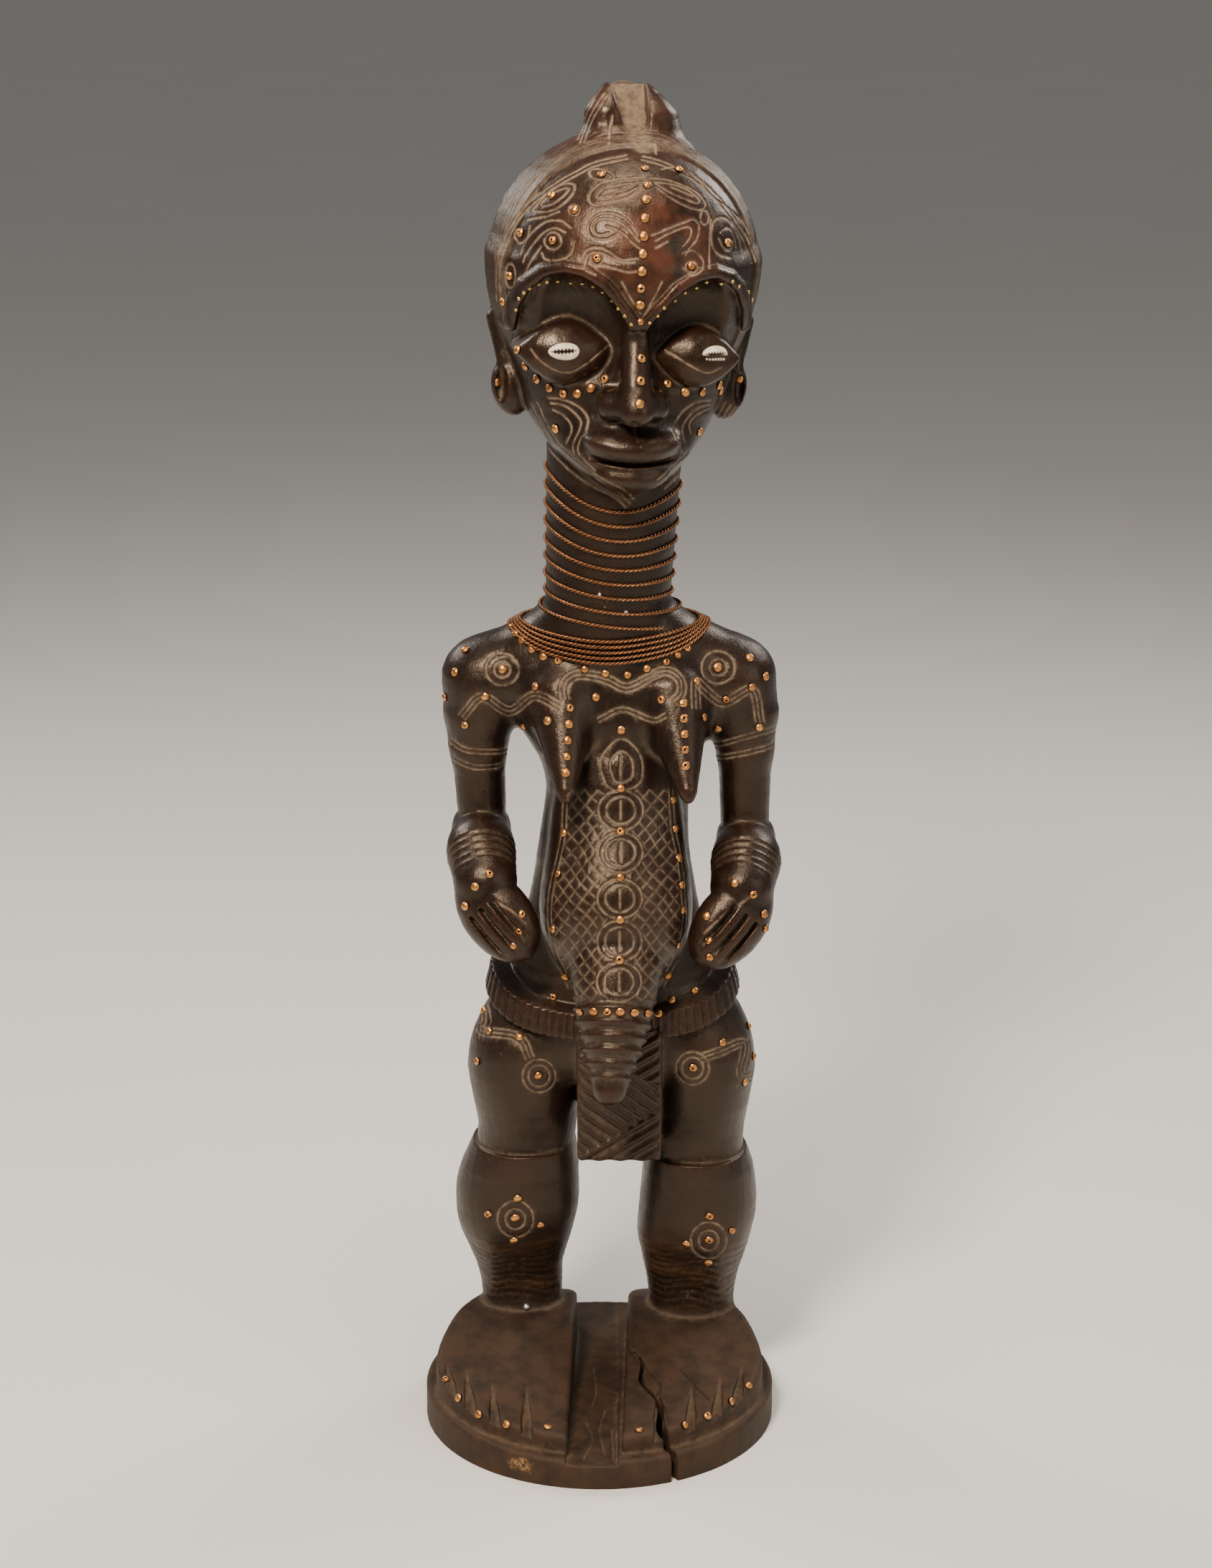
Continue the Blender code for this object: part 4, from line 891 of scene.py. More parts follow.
# Ovals as (middle u, middle v, half width, half height, tilt)
HEAD_OVALS = ((838, 243, 18, 8, 0.2), (800, 292, 7, 7, 0.0), (770, 335, 12, 12, 0.0),
              (710, 384, 7, 17, 0.0), (831, 360, 7, 7, 0.0), (963, 371, 8, 8, 0.0),
              (982, 302, 6, 10, 0.0))
SHOULDER_RINGS = (23.0, 11.5)
HIP_RINGS = (23.0, 15.0)
KNEE_RINGS = (25.5, 14.0)
BELLY_TACKS = ("tack_belly_1", "tack_belly_2", "tack_belly_3", "tack_belly_4", "tack_belly_5")
MEDALLION_HALVES = ((31.5, 28.0), (20.5, 19.0))
MEDALLION_MARGIN = 3
MEDALLION_SLIT = 13.0
LATTICE_MARGIN = 4
LATTICE_PITCH = 14.0
LATTICE_SLOPE = math.radians(40)
LATTICE_SHARE = 0.62
LATTICE_LEFT = ((1120, 786), (1160, 784), (1200, 776), (1243, 766), (1286, 764), (1326, 772),
                (1365, 789), (1399, 806))
LATTICE_RIGHT = ((1100, 935), (1153, 938), (1196, 947), (1249, 953), (1286, 955), (1326, 945),
                 (1365, 927), (1395, 912))


def on_head(p):
    return p[2] > 466.0


def on_chest(p):
    return (p[2] > 318.0) & (p[2] < 425.0)


def on_arms(p):
    return (p[2] > 318.0) & ((p[0] < -38.0) | (p[0] > 53.0))


def on_belly(p):
    beside_hands = np.minimum(hand(p, -1), hand(p, 1)) > 1.5
    return (p[2] > 232.0) & (p[2] < 372.0) & (p[0] > -42.0) & (p[0] < 55.0) & beside_hands & (p[1] < 8.0)


def on_hands(p):
    return (p[2] > 240.0) & (p[2] < 320.0) & ((p[0] < -30.0) | (p[0] > 45.0))


def on_hips(p):
    return (p[2] > 150.0) & (p[2] < 222.0) & (apron(p) > 2.0)


def on_knees(p):
    return (p[2] > 60.0) & (p[2] < 140.0)


def pixel_of(node):
    """Where the middle of a node appears in the photograph's frame."""
    gap = np.array(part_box(node)).sum(axis=0) / 2 - CAMERA_PLACE
    depth = gap @ LOOK
    return (FRAME_WIDTH / 2 + FOCAL_PIXELS * (gap @ RIGHT) / depth,
            FRAME_HEIGHT / 2 + FOCAL_PIXELS * (gap @ DOWN) / depth)


def rings_round(nodes, radii):
    return [oval(*pixel_of(node), radius, radius) for node in nodes for radius in radii]


def deepen(depth, near, distance, half_width, share=1.0):
    """Cut a round groove into a depth from 0 to 1, at points a distance away from its middle."""
    depth[near] = np.maximum(depth[near], share * np.exp(-(distance / half_width) ** 2))


def cut_lines(chart, depth, spots, lines, offsets):
    for line in lines:
        for offset in offsets:
            near, distance = chart.from_line(spots, beside(line, offset) if offset else line)
            deepen(depth, near, distance, GROOVE_HALF_WIDTH)


def medallion_middles():
    """One medallion below each tack on the middle of the belly."""
    tacks = np.array([pixel_of(node) for node in BELLY_TACKS])
    step = (tacks[-1] - tacks[0]) / (len(tacks) - 1)
    return tacks + step / 2


def cut_lattice(chart, depth, spots):
    """Crossing lines between the two borders of the belly, outside the medallions."""
    v = chart.v[spots]
    left = np.interp(v, *zip(*LATTICE_LEFT)) + LATTICE_MARGIN
    right = np.interp(v, *zip(*LATTICE_RIGHT)) - LATTICE_MARGIN
    u = chart.u[spots]
    inside = (u > left) & (u < right) & (v > LATTICE_RIGHT[0][0]) & (v < LATTICE_RIGHT[-1][0])
    half_width, half_height = (half + MEDALLION_MARGIN for half in MEDALLION_HALVES[0])
    for middle_u, middle_v in medallion_middles():
        inside &= np.hypot((u - middle_u) / half_width, (v - middle_v) / half_height) > 1.0
    spots = spots[inside]
    for slope in (LATTICE_SLOPE, -LATTICE_SLOPE):
        distance = chart.from_grating(spots, slope, LATTICE_PITCH)
        deepen(depth, spots, distance, GROOVE_HALF_WIDTH, LATTICE_SHARE)


def broadly_shaped(chart):
    """The rise in metres of the broader lines, below zero where they are hollowed out."""
    spots = np.nonzero(chart.seen)[0]
    rise = np.zeros(len(chart.u))
    for half_width, height, pixels in BROADER_LINES:
        near, distance = chart.from_line(spots, smooth_line(pixels))
        share = np.exp(-(distance / half_width) ** 2)
        rise[near] = np.where(np.abs(height * share) > np.abs(rise[near]), height * share, rise[near])
    return rise


def cracked(chart):
    """How deeply each point is split by the thin cracks, from 0 to 1."""
    spots = np.nonzero(chart.seen)[0]
    depth = np.zeros(len(chart.u))
    for pixels in CRACKS:
        near, distance = chart.from_line(spots, smooth_line(pixels))
        deepen(depth, near, distance, CRACK_HALF_WIDTH)
    return depth


def chipped(chart):
    """Where the dark skin of the wood has come off at the edge of the base, from 0 to 1."""
    bare = np.zeros(len(chart.u))
    for u, v, half_width, half_height in CHIPS:
        away = np.hypot((chart.u - u) / half_width, (chart.v - v) / half_height)
        bare = np.maximum(bare, smoothstep(1.1, 0.7, away) * chart.seen)
    return bare


def engraved(chart, points):
    """How deeply each point is cut by the lines carved in the wood, from 0 to 1."""
    p = to_units(points.T.astype(np.float32))
    depth = np.zeros(len(points))
    middles = medallion_middles()
    medallions = [oval(*middle, *half) for middle in middles for half in MEDALLION_HALVES]
    slits = [np.array(((u, v - MEDALLION_SLIT), (u, v + MEDALLION_SLIT))) for u, v in middles]
    for where, groups, ovals in (
            (on_head, HEAD_LINES + FACE_LINES + EYE_LINES, [oval(*o) for o in HEAD_OVALS]),
            (on_chest, CHEST_LINES, rings_round(("tack_shoulder_1", "tack_shoulder_2"), SHOULDER_RINGS)),
            (on_arms, ARMS_LINES, []),
            (on_belly, BELLY_LINES, medallions + slits),
            (on_hands, HANDS_LINES, []),
            (on_hips, HIPS_LINES, rings_round(("tack_hip_1", "tack_hip_2"), HIP_RINGS)),
            (on_knees, (), rings_round(("tack_knee_1", "tack_knee_2"), KNEE_RINGS))):
        spots = np.nonzero(chart.seen)[0]
        spots = spots[where(p[:, spots])]
        if len(spots) == 0:
            continue
        for offsets, lines in groups:
            cut_lines(chart, depth, spots, [smooth_line(pixels) for pixels in lines], offsets)
        cut_lines(chart, depth, spots, ovals, SINGLE)
        if where is on_belly:
            cut_lattice(chart, depth, spots)
    return depth


COIFFURE_PITCH = 3.1
COIFFURE_FRONT = 3.0
COIFFURE_BACK = 74.0
COIFFURE_FOOT = -44.0
COIFFURE_TOP = 60.0


def combed(points):
    """The fine arcs cut round the coiffure, side by side from the hairline to the back of the head."""
    q = HEAD_AXES @ (to_units(points.T.astype(np.float32)) - column(HEAD))
    back = hairline(q)
    wave = 0.5 + 0.5 * np.cos(back * (2 * math.pi / COIFFURE_PITCH))
    there = smoothstep(COIFFURE_FRONT, COIFFURE_FRONT + 1.5, back)
    there = there * smoothstep(COIFFURE_BACK, COIFFURE_BACK - 12, back)
    there = there * smoothstep(COIFFURE_FOOT, COIFFURE_FOOT + 16, q[2])
    there = there * (q[2] < COIFFURE_TOP) * (topknot(q) > 1.0)
    for side in (-1, 1):
        there = there * (ear(q, side) > 1.0)
    return there * wave ** 3


# The wood, in two pieces that meet under the neck wire
SEAM = to_world(0.0, 0.0, 446.0).z
UNEVEN = 0.00010
INSET = 0.00025
UNEVEN_LENGTHS = (0.011, 0.0073, 0.0049)
PARTS = {"figure_head": (SEAM, FIGURE_HEIGHT + 0.01, 0.00045),
         "figure_body": (-SAW_DEPTH, SEAM, 0.0006)}


def unevenness(points):
    """The slight waviness of a surface cut by hand, in metres."""
    total = np.zeros(len(points))
    for k, size in enumerate(UNEVEN_LENGTHS):
        x, y, z = points.T * (2 * math.pi / size)
        total += np.sin(x + 1.7 * k + 0.8 * np.sin(z * 0.7)) * np.sin(y * 0.9 + k)
        total += np.sin(z * 0.8 + 2.1 * k + 0.7 * np.sin(x * 0.6))
    return UNEVEN * total / len(UNEVEN_LENGTHS)


ADZE_DEPTH = 0.00026
ADZE_STEP = 4.3


def adze_marks(points):
    """Short level facets left on the shins by the blade, in metres."""
    p = to_units(points.T.astype(np.float32))
    legs = smoothstep(44.0, 54.0, p[2]) * smoothstep(98.0, 76.0, p[2])
    wobble = np.sin(p[0] * 0.21 + 1.3) * 1.6 + np.sin(p[0] * 0.09 + p[1] * 0.12) * 2.2
    step = (p[2] + wobble) / ADZE_STEP
    return ADZE_DEPTH * legs * (step - np.floor(step) - 0.5)


def hollowness(points, faces, normals, rounds):
    """How far each point lies below the average of its neighbourhood, in metres."""
    ends = np.concatenate([faces[:, [i, (i + 1) % faces.shape[1]]] for i in range(faces.shape[1])])
    count = np.bincount(ends[:, 0], minlength=len(points)) + np.bincount(ends[:, 1], minlength=len(points))
    smooth = points.copy()
    for _ in range(rounds):
        summed = np.empty_like(smooth)
        for i in range(3):
            summed[:, i] = np.bincount(ends[:, 0], smooth[ends[:, 1], i], len(points))
            summed[:, i] += np.bincount(ends[:, 1], smooth[ends[:, 0], i], len(points))
        smooth = summed / np.maximum(count, 1)[:, None]
    return ((smooth - points) * normals).sum(axis=1)


def add_masks(mesh, masks):
    for name, values in masks.items():
        layer = mesh.attributes.new(name, "FLOAT", "POINT")
        layer.data.foreach_set("value", values.astype(np.float32))


HOLLOW_FULL = 0.00012


def wood_masks(points, groove, comb, hollow):
    """Where the wood is dusty, worn by rubbing and dry, and where highlights are painted on the crest, the
    eyelids and the lower legs.
    """
    p = to_units(points.T.astype(np.float32))
    q = HEAD_AXES @ (p - column(HEAD))
    sunk = np.clip(hollow / HOLLOW_FULL, 0.0, 1.0)
    proud = np.clip(-hollow / HOLLOW_FULL, 0.0, 1.0)
    forehead = smoothstep(46.0, 20.0, np.hypot(q[0], (q[2] - 14.0) * 1.3)) * (q[1] < -20.0)
    crest = smoothstep(42.0, 56.0, q[2])
    lids = smoothstep(1.5, 0.5, np.minimum(eye(q, -1), eye(q, 1)))
    # Reddish: real rubbing wear on the forehead, and a painted highlight on the crest, as if lit from
    # above, and on the eyelids
    rubbed_and_highlight = np.clip(forehead + 0.4 * crest + 0.15 * lids, 0.0, 1.0)
    dry = np.maximum(smoothstep(64.0, 34.0, p[2]), 0.16 * smoothstep(240.0, 190.0, p[2]))
    # Lower legs: the wood's streaky tone and a painted vertical highlight down their fronts
    shin_streak_and_sheen = smoothstep(50.0, 62.0, p[2]) * smoothstep(100.0, 80.0, p[2])
    rim = hairline(q)
    border = smoothstep(0.0, 2.0, rim) * smoothstep(14.0, 7.0, rim) * smoothstep(-30.0, -10.0, q[2])
    coiffure = 0.12 * comb + 0.32 * border
    rise = np.clip(q[2] - 46.0, 0.0, None)
    across = np.abs(q[0] - 5.5 + 0.16 * rise) - 3.0 - 0.15 * rise
    channel = smoothstep(1.5, -1.0, across) * (q[2] > 52.0) * (q[1] < 24.0)
    hollows = 0.22 * sunk * sunk * smoothstep(0.5, 2.5, belt(p))
    dusty = np.clip(0.95 * groove + coiffure + hollows + 0.60 * channel, 0.0, 1.0)
    return {"dust": dusty, "rubbed_and_highlight": rubbed_and_highlight, "dry": dry, "shin_streak_and_sheen": shin_streak_and_sheen, "proud": proud}


def trimmed(mesh, height, keep_above):
    """The mesh sawn off flat at a height, with its end closed."""
    made = bmesh.new()
    made.from_mesh(mesh)
    found = bmesh.ops.bisect_plane(
        made, geom=made.verts[:] + made.edges[:] + made.faces[:], dist=1e-7, plane_co=(0.0, 0.0, height),
        plane_no=(0.0, 0.0, 1.0), clear_inner=keep_above, clear_outer=not keep_above)
    rim = [item for item in found["geom_cut"] if isinstance(item, bmesh.types.BMEdge)]
    out = (0.0, 0.0, -1.0 if keep_above else 1.0)
    ends = bmesh.ops.triangle_fill(made, edges=rim, use_beauty=True, normal=out)
    for item in ends["geom"]:
        if isinstance(item, bmesh.types.BMFace):
            item.smooth = False
    for edge in rim:
        if edge.is_valid:
            edge.smooth = False
    made.to_mesh(mesh)
    made.free()


def make_wood(name, look):
    low, high, voxel = PARTS[name]
    points, faces = wood_surface(voxel, low - 6 * voxel, high + 6 * voxel)
    normals = point_normals(points, faces)
    chart = Chart(points, normals)
    groove = engraved(chart, points)
    split = cracked(chart)
    bare = chipped(chart)
    comb = combed(points)
    lift = unevenness(points) + adze_marks(points) + broadly_shaped(chart) - INSET
    lift -= GROOVE_DEPTH * np.maximum(groove, 0.7 * comb) + CRACK_DEPTH * split
    points = points + normals * lift[:, None]
    normals = point_normals(points, faces)
    hollow = hollowness(points, faces, normals, 6)
    mesh = mesh_of(name, points, faces)
    masks = wood_masks(points, groove, comb, hollow)
    masks.update({"split": split, "bare": bare})
    add_masks(mesh, masks)
    wood = placed(name, mesh)
    thin = wood.modifiers.new("thin", "DECIMATE")
    thin.ratio = min(1.0, WOOD_TRIANGLES / (2.0 * len(faces)))
    thin.use_collapse_triangulate = True
    applied(wood)
    trimmed(wood.data, max(low, 0.0), True)
    if name == "figure_body":
        trimmed(wood.data, high, False)
    wood.data.shade_smooth()
    finish_piece(wood, look, "oiled_wood", "figure")
    return wood


def applied(thing):
    """Make a thing's modifiers part of its mesh."""
    graph = bpy.context.evaluated_depsgraph_get()
    mesh = bpy.data.meshes.new_from_object(thing.evaluated_get(graph))
    old = thing.data
    thing.modifiers.clear()
    thing.data = mesh
    mesh.name = thing.name
    bpy.data.meshes.remove(old)


def placed(name, mesh):
    thing = bpy.data.objects.new(name, mesh)
    bpy.context.scene.collection.objects.link(thing)
    return thing


def smooth_mesh(name, made):
    mesh = bpy.data.meshes.new(name)
    made.to_mesh(mesh)
    made.free()
    mesh.shade_smooth()
    return mesh


def finish_piece(piece, look, slot, *nodes):
    piece.data.materials.clear()
    piece.data.materials.append(look)
    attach(piece, "root")
    if nodes:
        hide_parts(*nodes)


# Things laid on the wood

def middle_of(node):
    low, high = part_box(node)
    return (Vector(low) + Vector(high)) / 2


class Surface:
    """The finished wood as other pieces meet it."""

    def __init__(self, things):
        verts = []
        faces = []
        for thing in things:
            mesh = thing.data
            mesh.calc_loop_triangles()
            places = np.empty(3 * len(mesh.vertices), dtype=np.float32)
            mesh.vertices.foreach_get("co", places)
            corners = np.empty(3 * len(mesh.loop_triangles), dtype=np.int32)
            mesh.loop_triangles.foreach_get("vertices", corners)
            faces += (corners.reshape(-1, 3) + len(verts)).tolist()
            verts += places.reshape(-1, 3).tolist()
        self.tree = BVHTree.FromPolygons(verts, faces)

    def hit(self, start, way):
        return self.tree.ray_cast(Vector(start), Vector(way).normalized())[:2]

    def nearest(self, point):
        return self.tree.find_nearest(Vector(point))[:2]

    def gap(self, point):
        """Distance to the wood, below zero inside it, and the way out."""
        place, normal = self.nearest(point)
        away = point - place
        return (away.length if away.dot(normal) > 0.0 else -away.length), normal

    def even_normal(self, place, normal, reach):
        """The normal averaged over places around, so that a carved line does not tilt what lies on it."""
        side = normal.orthogonal().normalized()
        other = normal.cross(side)
        total = normal.copy()
        for k in range(6):
            way = side * math.cos(k * math.pi / 3) + other * math.sin(k * math.pi / 3)
            total += self.nearest(place + way * reach)[1]
        return total.normalized()


def lifted_clear(points, surface, gap):
    """The same route, pushed out until no stretch of it comes nearer to the wood than the gap."""
    points = [point.copy() for point in points]
    for _ in range(SETTLING_ROUNDS):
        moved = False
        for i, point in enumerate(points):
            room, normal = surface.gap(point)
            if room < gap:
                points[i] = point + normal * (gap - room) * 1.05
                moved = True
        if not moved:
            break
    return points


def relaxed(points, closed, rounds):
    """The same route with its small kinks taken out."""
    for _ in range(rounds):
        kept = points
        points = [point.copy() for point in kept]
        for i in range(0 if closed else 1, len(kept) - (0 if closed else 1)):
            points[i] = kept[i] * 0.5 + (kept[i - 1] + kept[(i + 1) % len(kept)]) * 0.25
    return points


STRAND_RADIUS = WIRE_DIAMETER / 4 * 1.08
TWIST_LENGTH = 0.0046
TWIST_RINGS = 8
STRAND_SIDES = 6
SETTLING_ROUNDS = 12


def resampled(points, closed, step):
    """Points at even steps along the route."""
    places = np.array([tuple(point) for point in points])
    if closed:
        places = np.vstack([places, places[:1]])
    runs = np.concatenate([[0.0], np.cumsum(np.linalg.norm(np.diff(places, axis=0), axis=1))])
    count = max(8, round(runs[-1] / step))
    at = np.linspace(0.0, runs[-1], count + 1)
    if closed:
        at = at[:-1]
    return np.stack([np.interp(at, runs, places[:, i]) for i in range(3)], axis=1), runs[-1]


def twisted_wire(name, points, closed, look, node):
    """Two strands wound round each other along a route."""
    route, whole = resampled(points, closed, TWIST_LENGTH / TWIST_RINGS)
    turns = round(whole / TWIST_LENGTH) if closed else whole / TWIST_LENGTH
    count = len(route)
    if closed:
        way = np.roll(route, -1, axis=0) - np.roll(route, 1, axis=0)
    else:
        way = np.gradient(route, axis=0)
    way /= np.linalg.norm(way, axis=1, keepdims=True)
    side = np.cross(way, (0.0, 0.0, 1.0))
    side /= np.linalg.norm(side, axis=1, keepdims=True)
    up = np.cross(side, way)
    verts = []
    faces = []
    for strand in (0.0, math.pi):
        twist = 2 * math.pi * turns * np.arange(count) / (count if closed else count - 1) + strand
        offset = (WIRE_DIAMETER / 2 - STRAND_RADIUS) * 0.92
        middle = route + offset * (side * np.cos(twist)[:, None] + up * np.sin(twist)[:, None])
        base = len(verts) * count
        for k in range(STRAND_SIDES):
            angle = 2 * math.pi * k / STRAND_SIDES
            verts.append(middle + STRAND_RADIUS * (side * math.cos(angle) + up * math.sin(angle)))
        i = np.arange(count if closed else count - 1)
        after = (i + 1) % count
        for k in range(STRAND_SIDES):
            one = base + k * count
            two = base + ((k + 1) % STRAND_SIDES) * count
            faces.append(np.stack([one + i, two + i, two + after, one + after], axis=1))
    mesh = mesh_of(name, np.concatenate(verts), np.concatenate(faces))
    if not closed:
        close_holes(mesh)
    mesh.shade_smooth()
    finish_piece(placed(name, mesh), look, "copper", node)


def close_holes(mesh):
    made = bmesh.new()
    made.from_mesh(mesh)
    bmesh.ops.holes_fill(made, edges=made.edges[:], sides=0)
    bmesh.ops.recalc_face_normals(made, faces=made.faces[:])
    made.to_mesh(mesh)
    made.free()


def neck_axis(height):
    """The middle of the neck at a height in carving units."""
    share = (height - NECK_FOOT[2]) / (NECK_TOP[2] - NECK_FOOT[2])
    return (NECK_FOOT[0] + (NECK_TOP[0] - NECK_FOOT[0]) * share, NECK_FOOT[1])


def around(turn):
    """The level way out from the neck at a turn from the front."""
    return Vector((math.sin(turn), -math.cos(turn), 0.0))


def on_neck(surface, turn, height):
    """Where the wood ends on the way out from the middle of the neck."""
    return surface.hit(to_world(*neck_axis(height), height), around(turn))


NECK_TURN_SEGMENTS = 44
NECK_WIRE_HIGH = 467.0
NECK_WIRE_LOW = 415.0
NECK_WIRE_SIDE_RISE = 13.0
NECK_WIRE_LEAN = 2.5
NECK_WIRE_START = -0.4
NECK_WIRE_PAST_FRONT = 0.15


def make_neck_wire(surface, look):
    """One wire wound down the neck from behind its left side, each turn higher at the sides."""
    full_turns = round((NECK_WIRE_HIGH - NECK_WIRE_LOW) * UNIT / WIRE_PITCH)
    count = round((full_turns + NECK_WIRE_PAST_FRONT - NECK_WIRE_START) * NECK_TURN_SEGMENTS)
    gap = WIRE_DIAMETER / 2 + CLEARANCE
    points = []
    for i in range(count + 1):
        turns = NECK_WIRE_START + i / NECK_TURN_SEGMENTS
        turn = 2 * math.pi * turns
        share = min(max(turns / full_turns, 0.0), 1.0)
        side = math.sin(min(abs(math.remainder(turn, 2 * math.pi)), math.pi / 2)) ** 2
        rise = NECK_WIRE_SIDE_RISE * (1.0 - share) * (1.0 - 0.4 * share)
        height = NECK_WIRE_HIGH - turns * WIRE_PITCH / UNIT + rise * side - NECK_WIRE_LEAN * math.sin(turn)
        place, _ = on_neck(surface, turn, height)
        points.append(place + around(turn) * gap)
    points = relaxed(lifted_clear(points, surface, gap), False, 4)
    twisted_wire("twisted_neck_wire", points, False, look, "neck_wire")


COLLAR_SEGMENTS = 72
COLLAR_FRONT = 405.5
COLLAR_SIDE = 410.5


def make_collar(surface, look):
    """Strands round the foot of the neck, each one a step further down the chest and shoulders."""
    gap = WIRE_DIAMETER / 2 + CLEARANCE
    places = []
    for i in range(COLLAR_SEGMENTS):
        turn = 2 * math.pi * i / COLLAR_SEGMENTS
        height = COLLAR_FRONT + (COLLAR_SIDE - COLLAR_FRONT) * math.sin(turn / 2) ** 2
        places.append(on_neck(surface, turn, height))
    for strand in range(COLLAR_STRANDS):
        normals = [surface.even_normal(place, normal, 0.002) for place, normal in places]
        route = [place + normal * gap for (place, _), normal in zip(places, normals)]
        route = lifted_clear(relaxed(route, True, 6), surface, gap)
        route = relaxed(route, True, 3)
        node = "collar_wire_%d" % (strand + 1)
        twisted_wire("twisted_" + node, route, True, look, node)
        stepped = []
        for i in range(COLLAR_SEGMENTS):
            out = around(2 * math.pi * i / COLLAR_SEGMENTS)
            normal = normals[i]
            down = (out * normal.z - Vector((0, 0, 1)) * normal.dot(out)).normalized()
            start = route[i] + down * COLLAR_STRAND_STEP
            place, _ = surface.hit(start + normal * gap * 3, -normal)
            stepped.append((place, normal))
        places = stepped


# Tacks, as (piece, size, pixels of the photograph's frame)
BRASS_SIZE = 0.4
PHOTO_TACKS = (
    ("tacks_midline_more", 0.9, ((898, 235), (900, 245), (901, 258), (902, 276), (899, 304), (902, 333),
         (898, 364), (897, 385), (896, 407), (897, 426), (892, 448))),
    ("tacks_forehead_more", 1.0, ((838, 243), (945, 236), (769, 272), (800, 292), (725, 324),
         (770, 335), (710, 384), (831, 360), (963, 370), (701, 420), (1013, 338))),
    ("tacks_brass_l_more", BRASS_SIZE, ((719, 432), (723, 416), (730, 408), (738, 402), (751, 396),
         (762, 393), (777, 392), (795, 394), (811, 395), (826, 399), (839, 407), (852, 419), (861, 430),
         (870, 440), (879, 452))),
    ("tacks_brass_r_more", BRASS_SIZE, ((905, 450), (916, 440), (925, 429), (940, 419), (954, 408),
         (970, 401), (984, 393), (1004, 395), (1020, 392), (1029, 399), (1042, 407), (1047, 418))),
    ("tacks_cheeks_more", 1.0, ((774, 597), (974, 601))),
    ("tacks_under_eye_l_more", 1.0, ((842, 521), (822, 535), (801, 543), (779, 544), (760, 540),
         (745, 529), (732, 510), (721, 487))),
    ("tacks_under_eye_r_more", 1.0, ((937, 531), (961, 543), (983, 544), (1003, 544))),
    ("tacks_ears_more", 1.0, ((693, 532), (1030, 528))),
    ("tacks_collar_more", 1.0, ((713, 873), (718, 882), (727, 891), (741, 904), (757, 914), (777, 920),
         (814, 932), (843, 938), (874, 940), (901, 931), (928, 922), (944, 912), (957, 902))),
    ("tacks_shoulders_more", 1.0, ((648, 905), (634, 936), (620, 971), (1044, 916), (1066, 942))),
    ("tacks_chest_more", 1.0, ((746, 956), (676, 970), (648, 1010), (763, 1004), (729, 1012),
         (970, 949), (1011, 974), (1047, 957), (980, 999), (1000, 1015), (1057, 1013), (830, 971),
         (921, 974))),
    ("tacks_belly_l_more", 1.0, ((785, 1160), (778, 1217), (770, 1294), (787, 1361))),
    ("tacks_belly_r_more", 1.0, ((937, 1114), (940, 1154), (945, 1195), (949, 1233), (951, 1268),
         (944, 1316), (930, 1359))),
    ("tacks_navel_more", 1.0, ((811, 1405), (826, 1400), (843, 1403), (863, 1401), (880, 1405),
         (894, 1411), (917, 1412))),
    ("tacks_flanks_more", 1.0, ((771, 1389), (967, 1380), (935, 1393))),
    ("tacks_hands_more", 1.0, ((682, 1217), (662, 1235), (648, 1262), (727, 1273), (723, 1297),
         (715, 1317), (1023, 1230), (1049, 1246), (1064, 1273), (1066, 1293), (984, 1276), (987, 1310),
         (988, 1333))),
    ("tacks_hips_more", 1.0, ((674, 1407), (682, 1436), (724, 1444), (665, 1478), (749, 1498),
         (1006, 1452), (965, 1488), (1037, 1507), (1042, 1429), (1049, 1471), (769, 1389), (966, 1380))),
    ("tacks_knees_more", 1.0, ((721, 1669), (680, 1691), (753, 1706), (716, 1727), (988, 1694),
         (1019, 1714), (956, 1732), (986, 1758))),
    ("tacks_toes_more", 1.0, ((621, 1921), (639, 1947), (667, 1970), (706, 1984), (763, 1988),
         (890, 1992), (953, 1985), (985, 1972), (1018, 1952), (1042, 1930))),
)
TACK_SIDES = 14
BRASS_DIAMETER = 0.0019
BRASS_RISE = 0.0008
TACK_TILT = 0.06
PITTED_SHARE = 0.35
LEAST_TACK_GAP = 0.0046
ROW_TACK_GAP = 0.0062


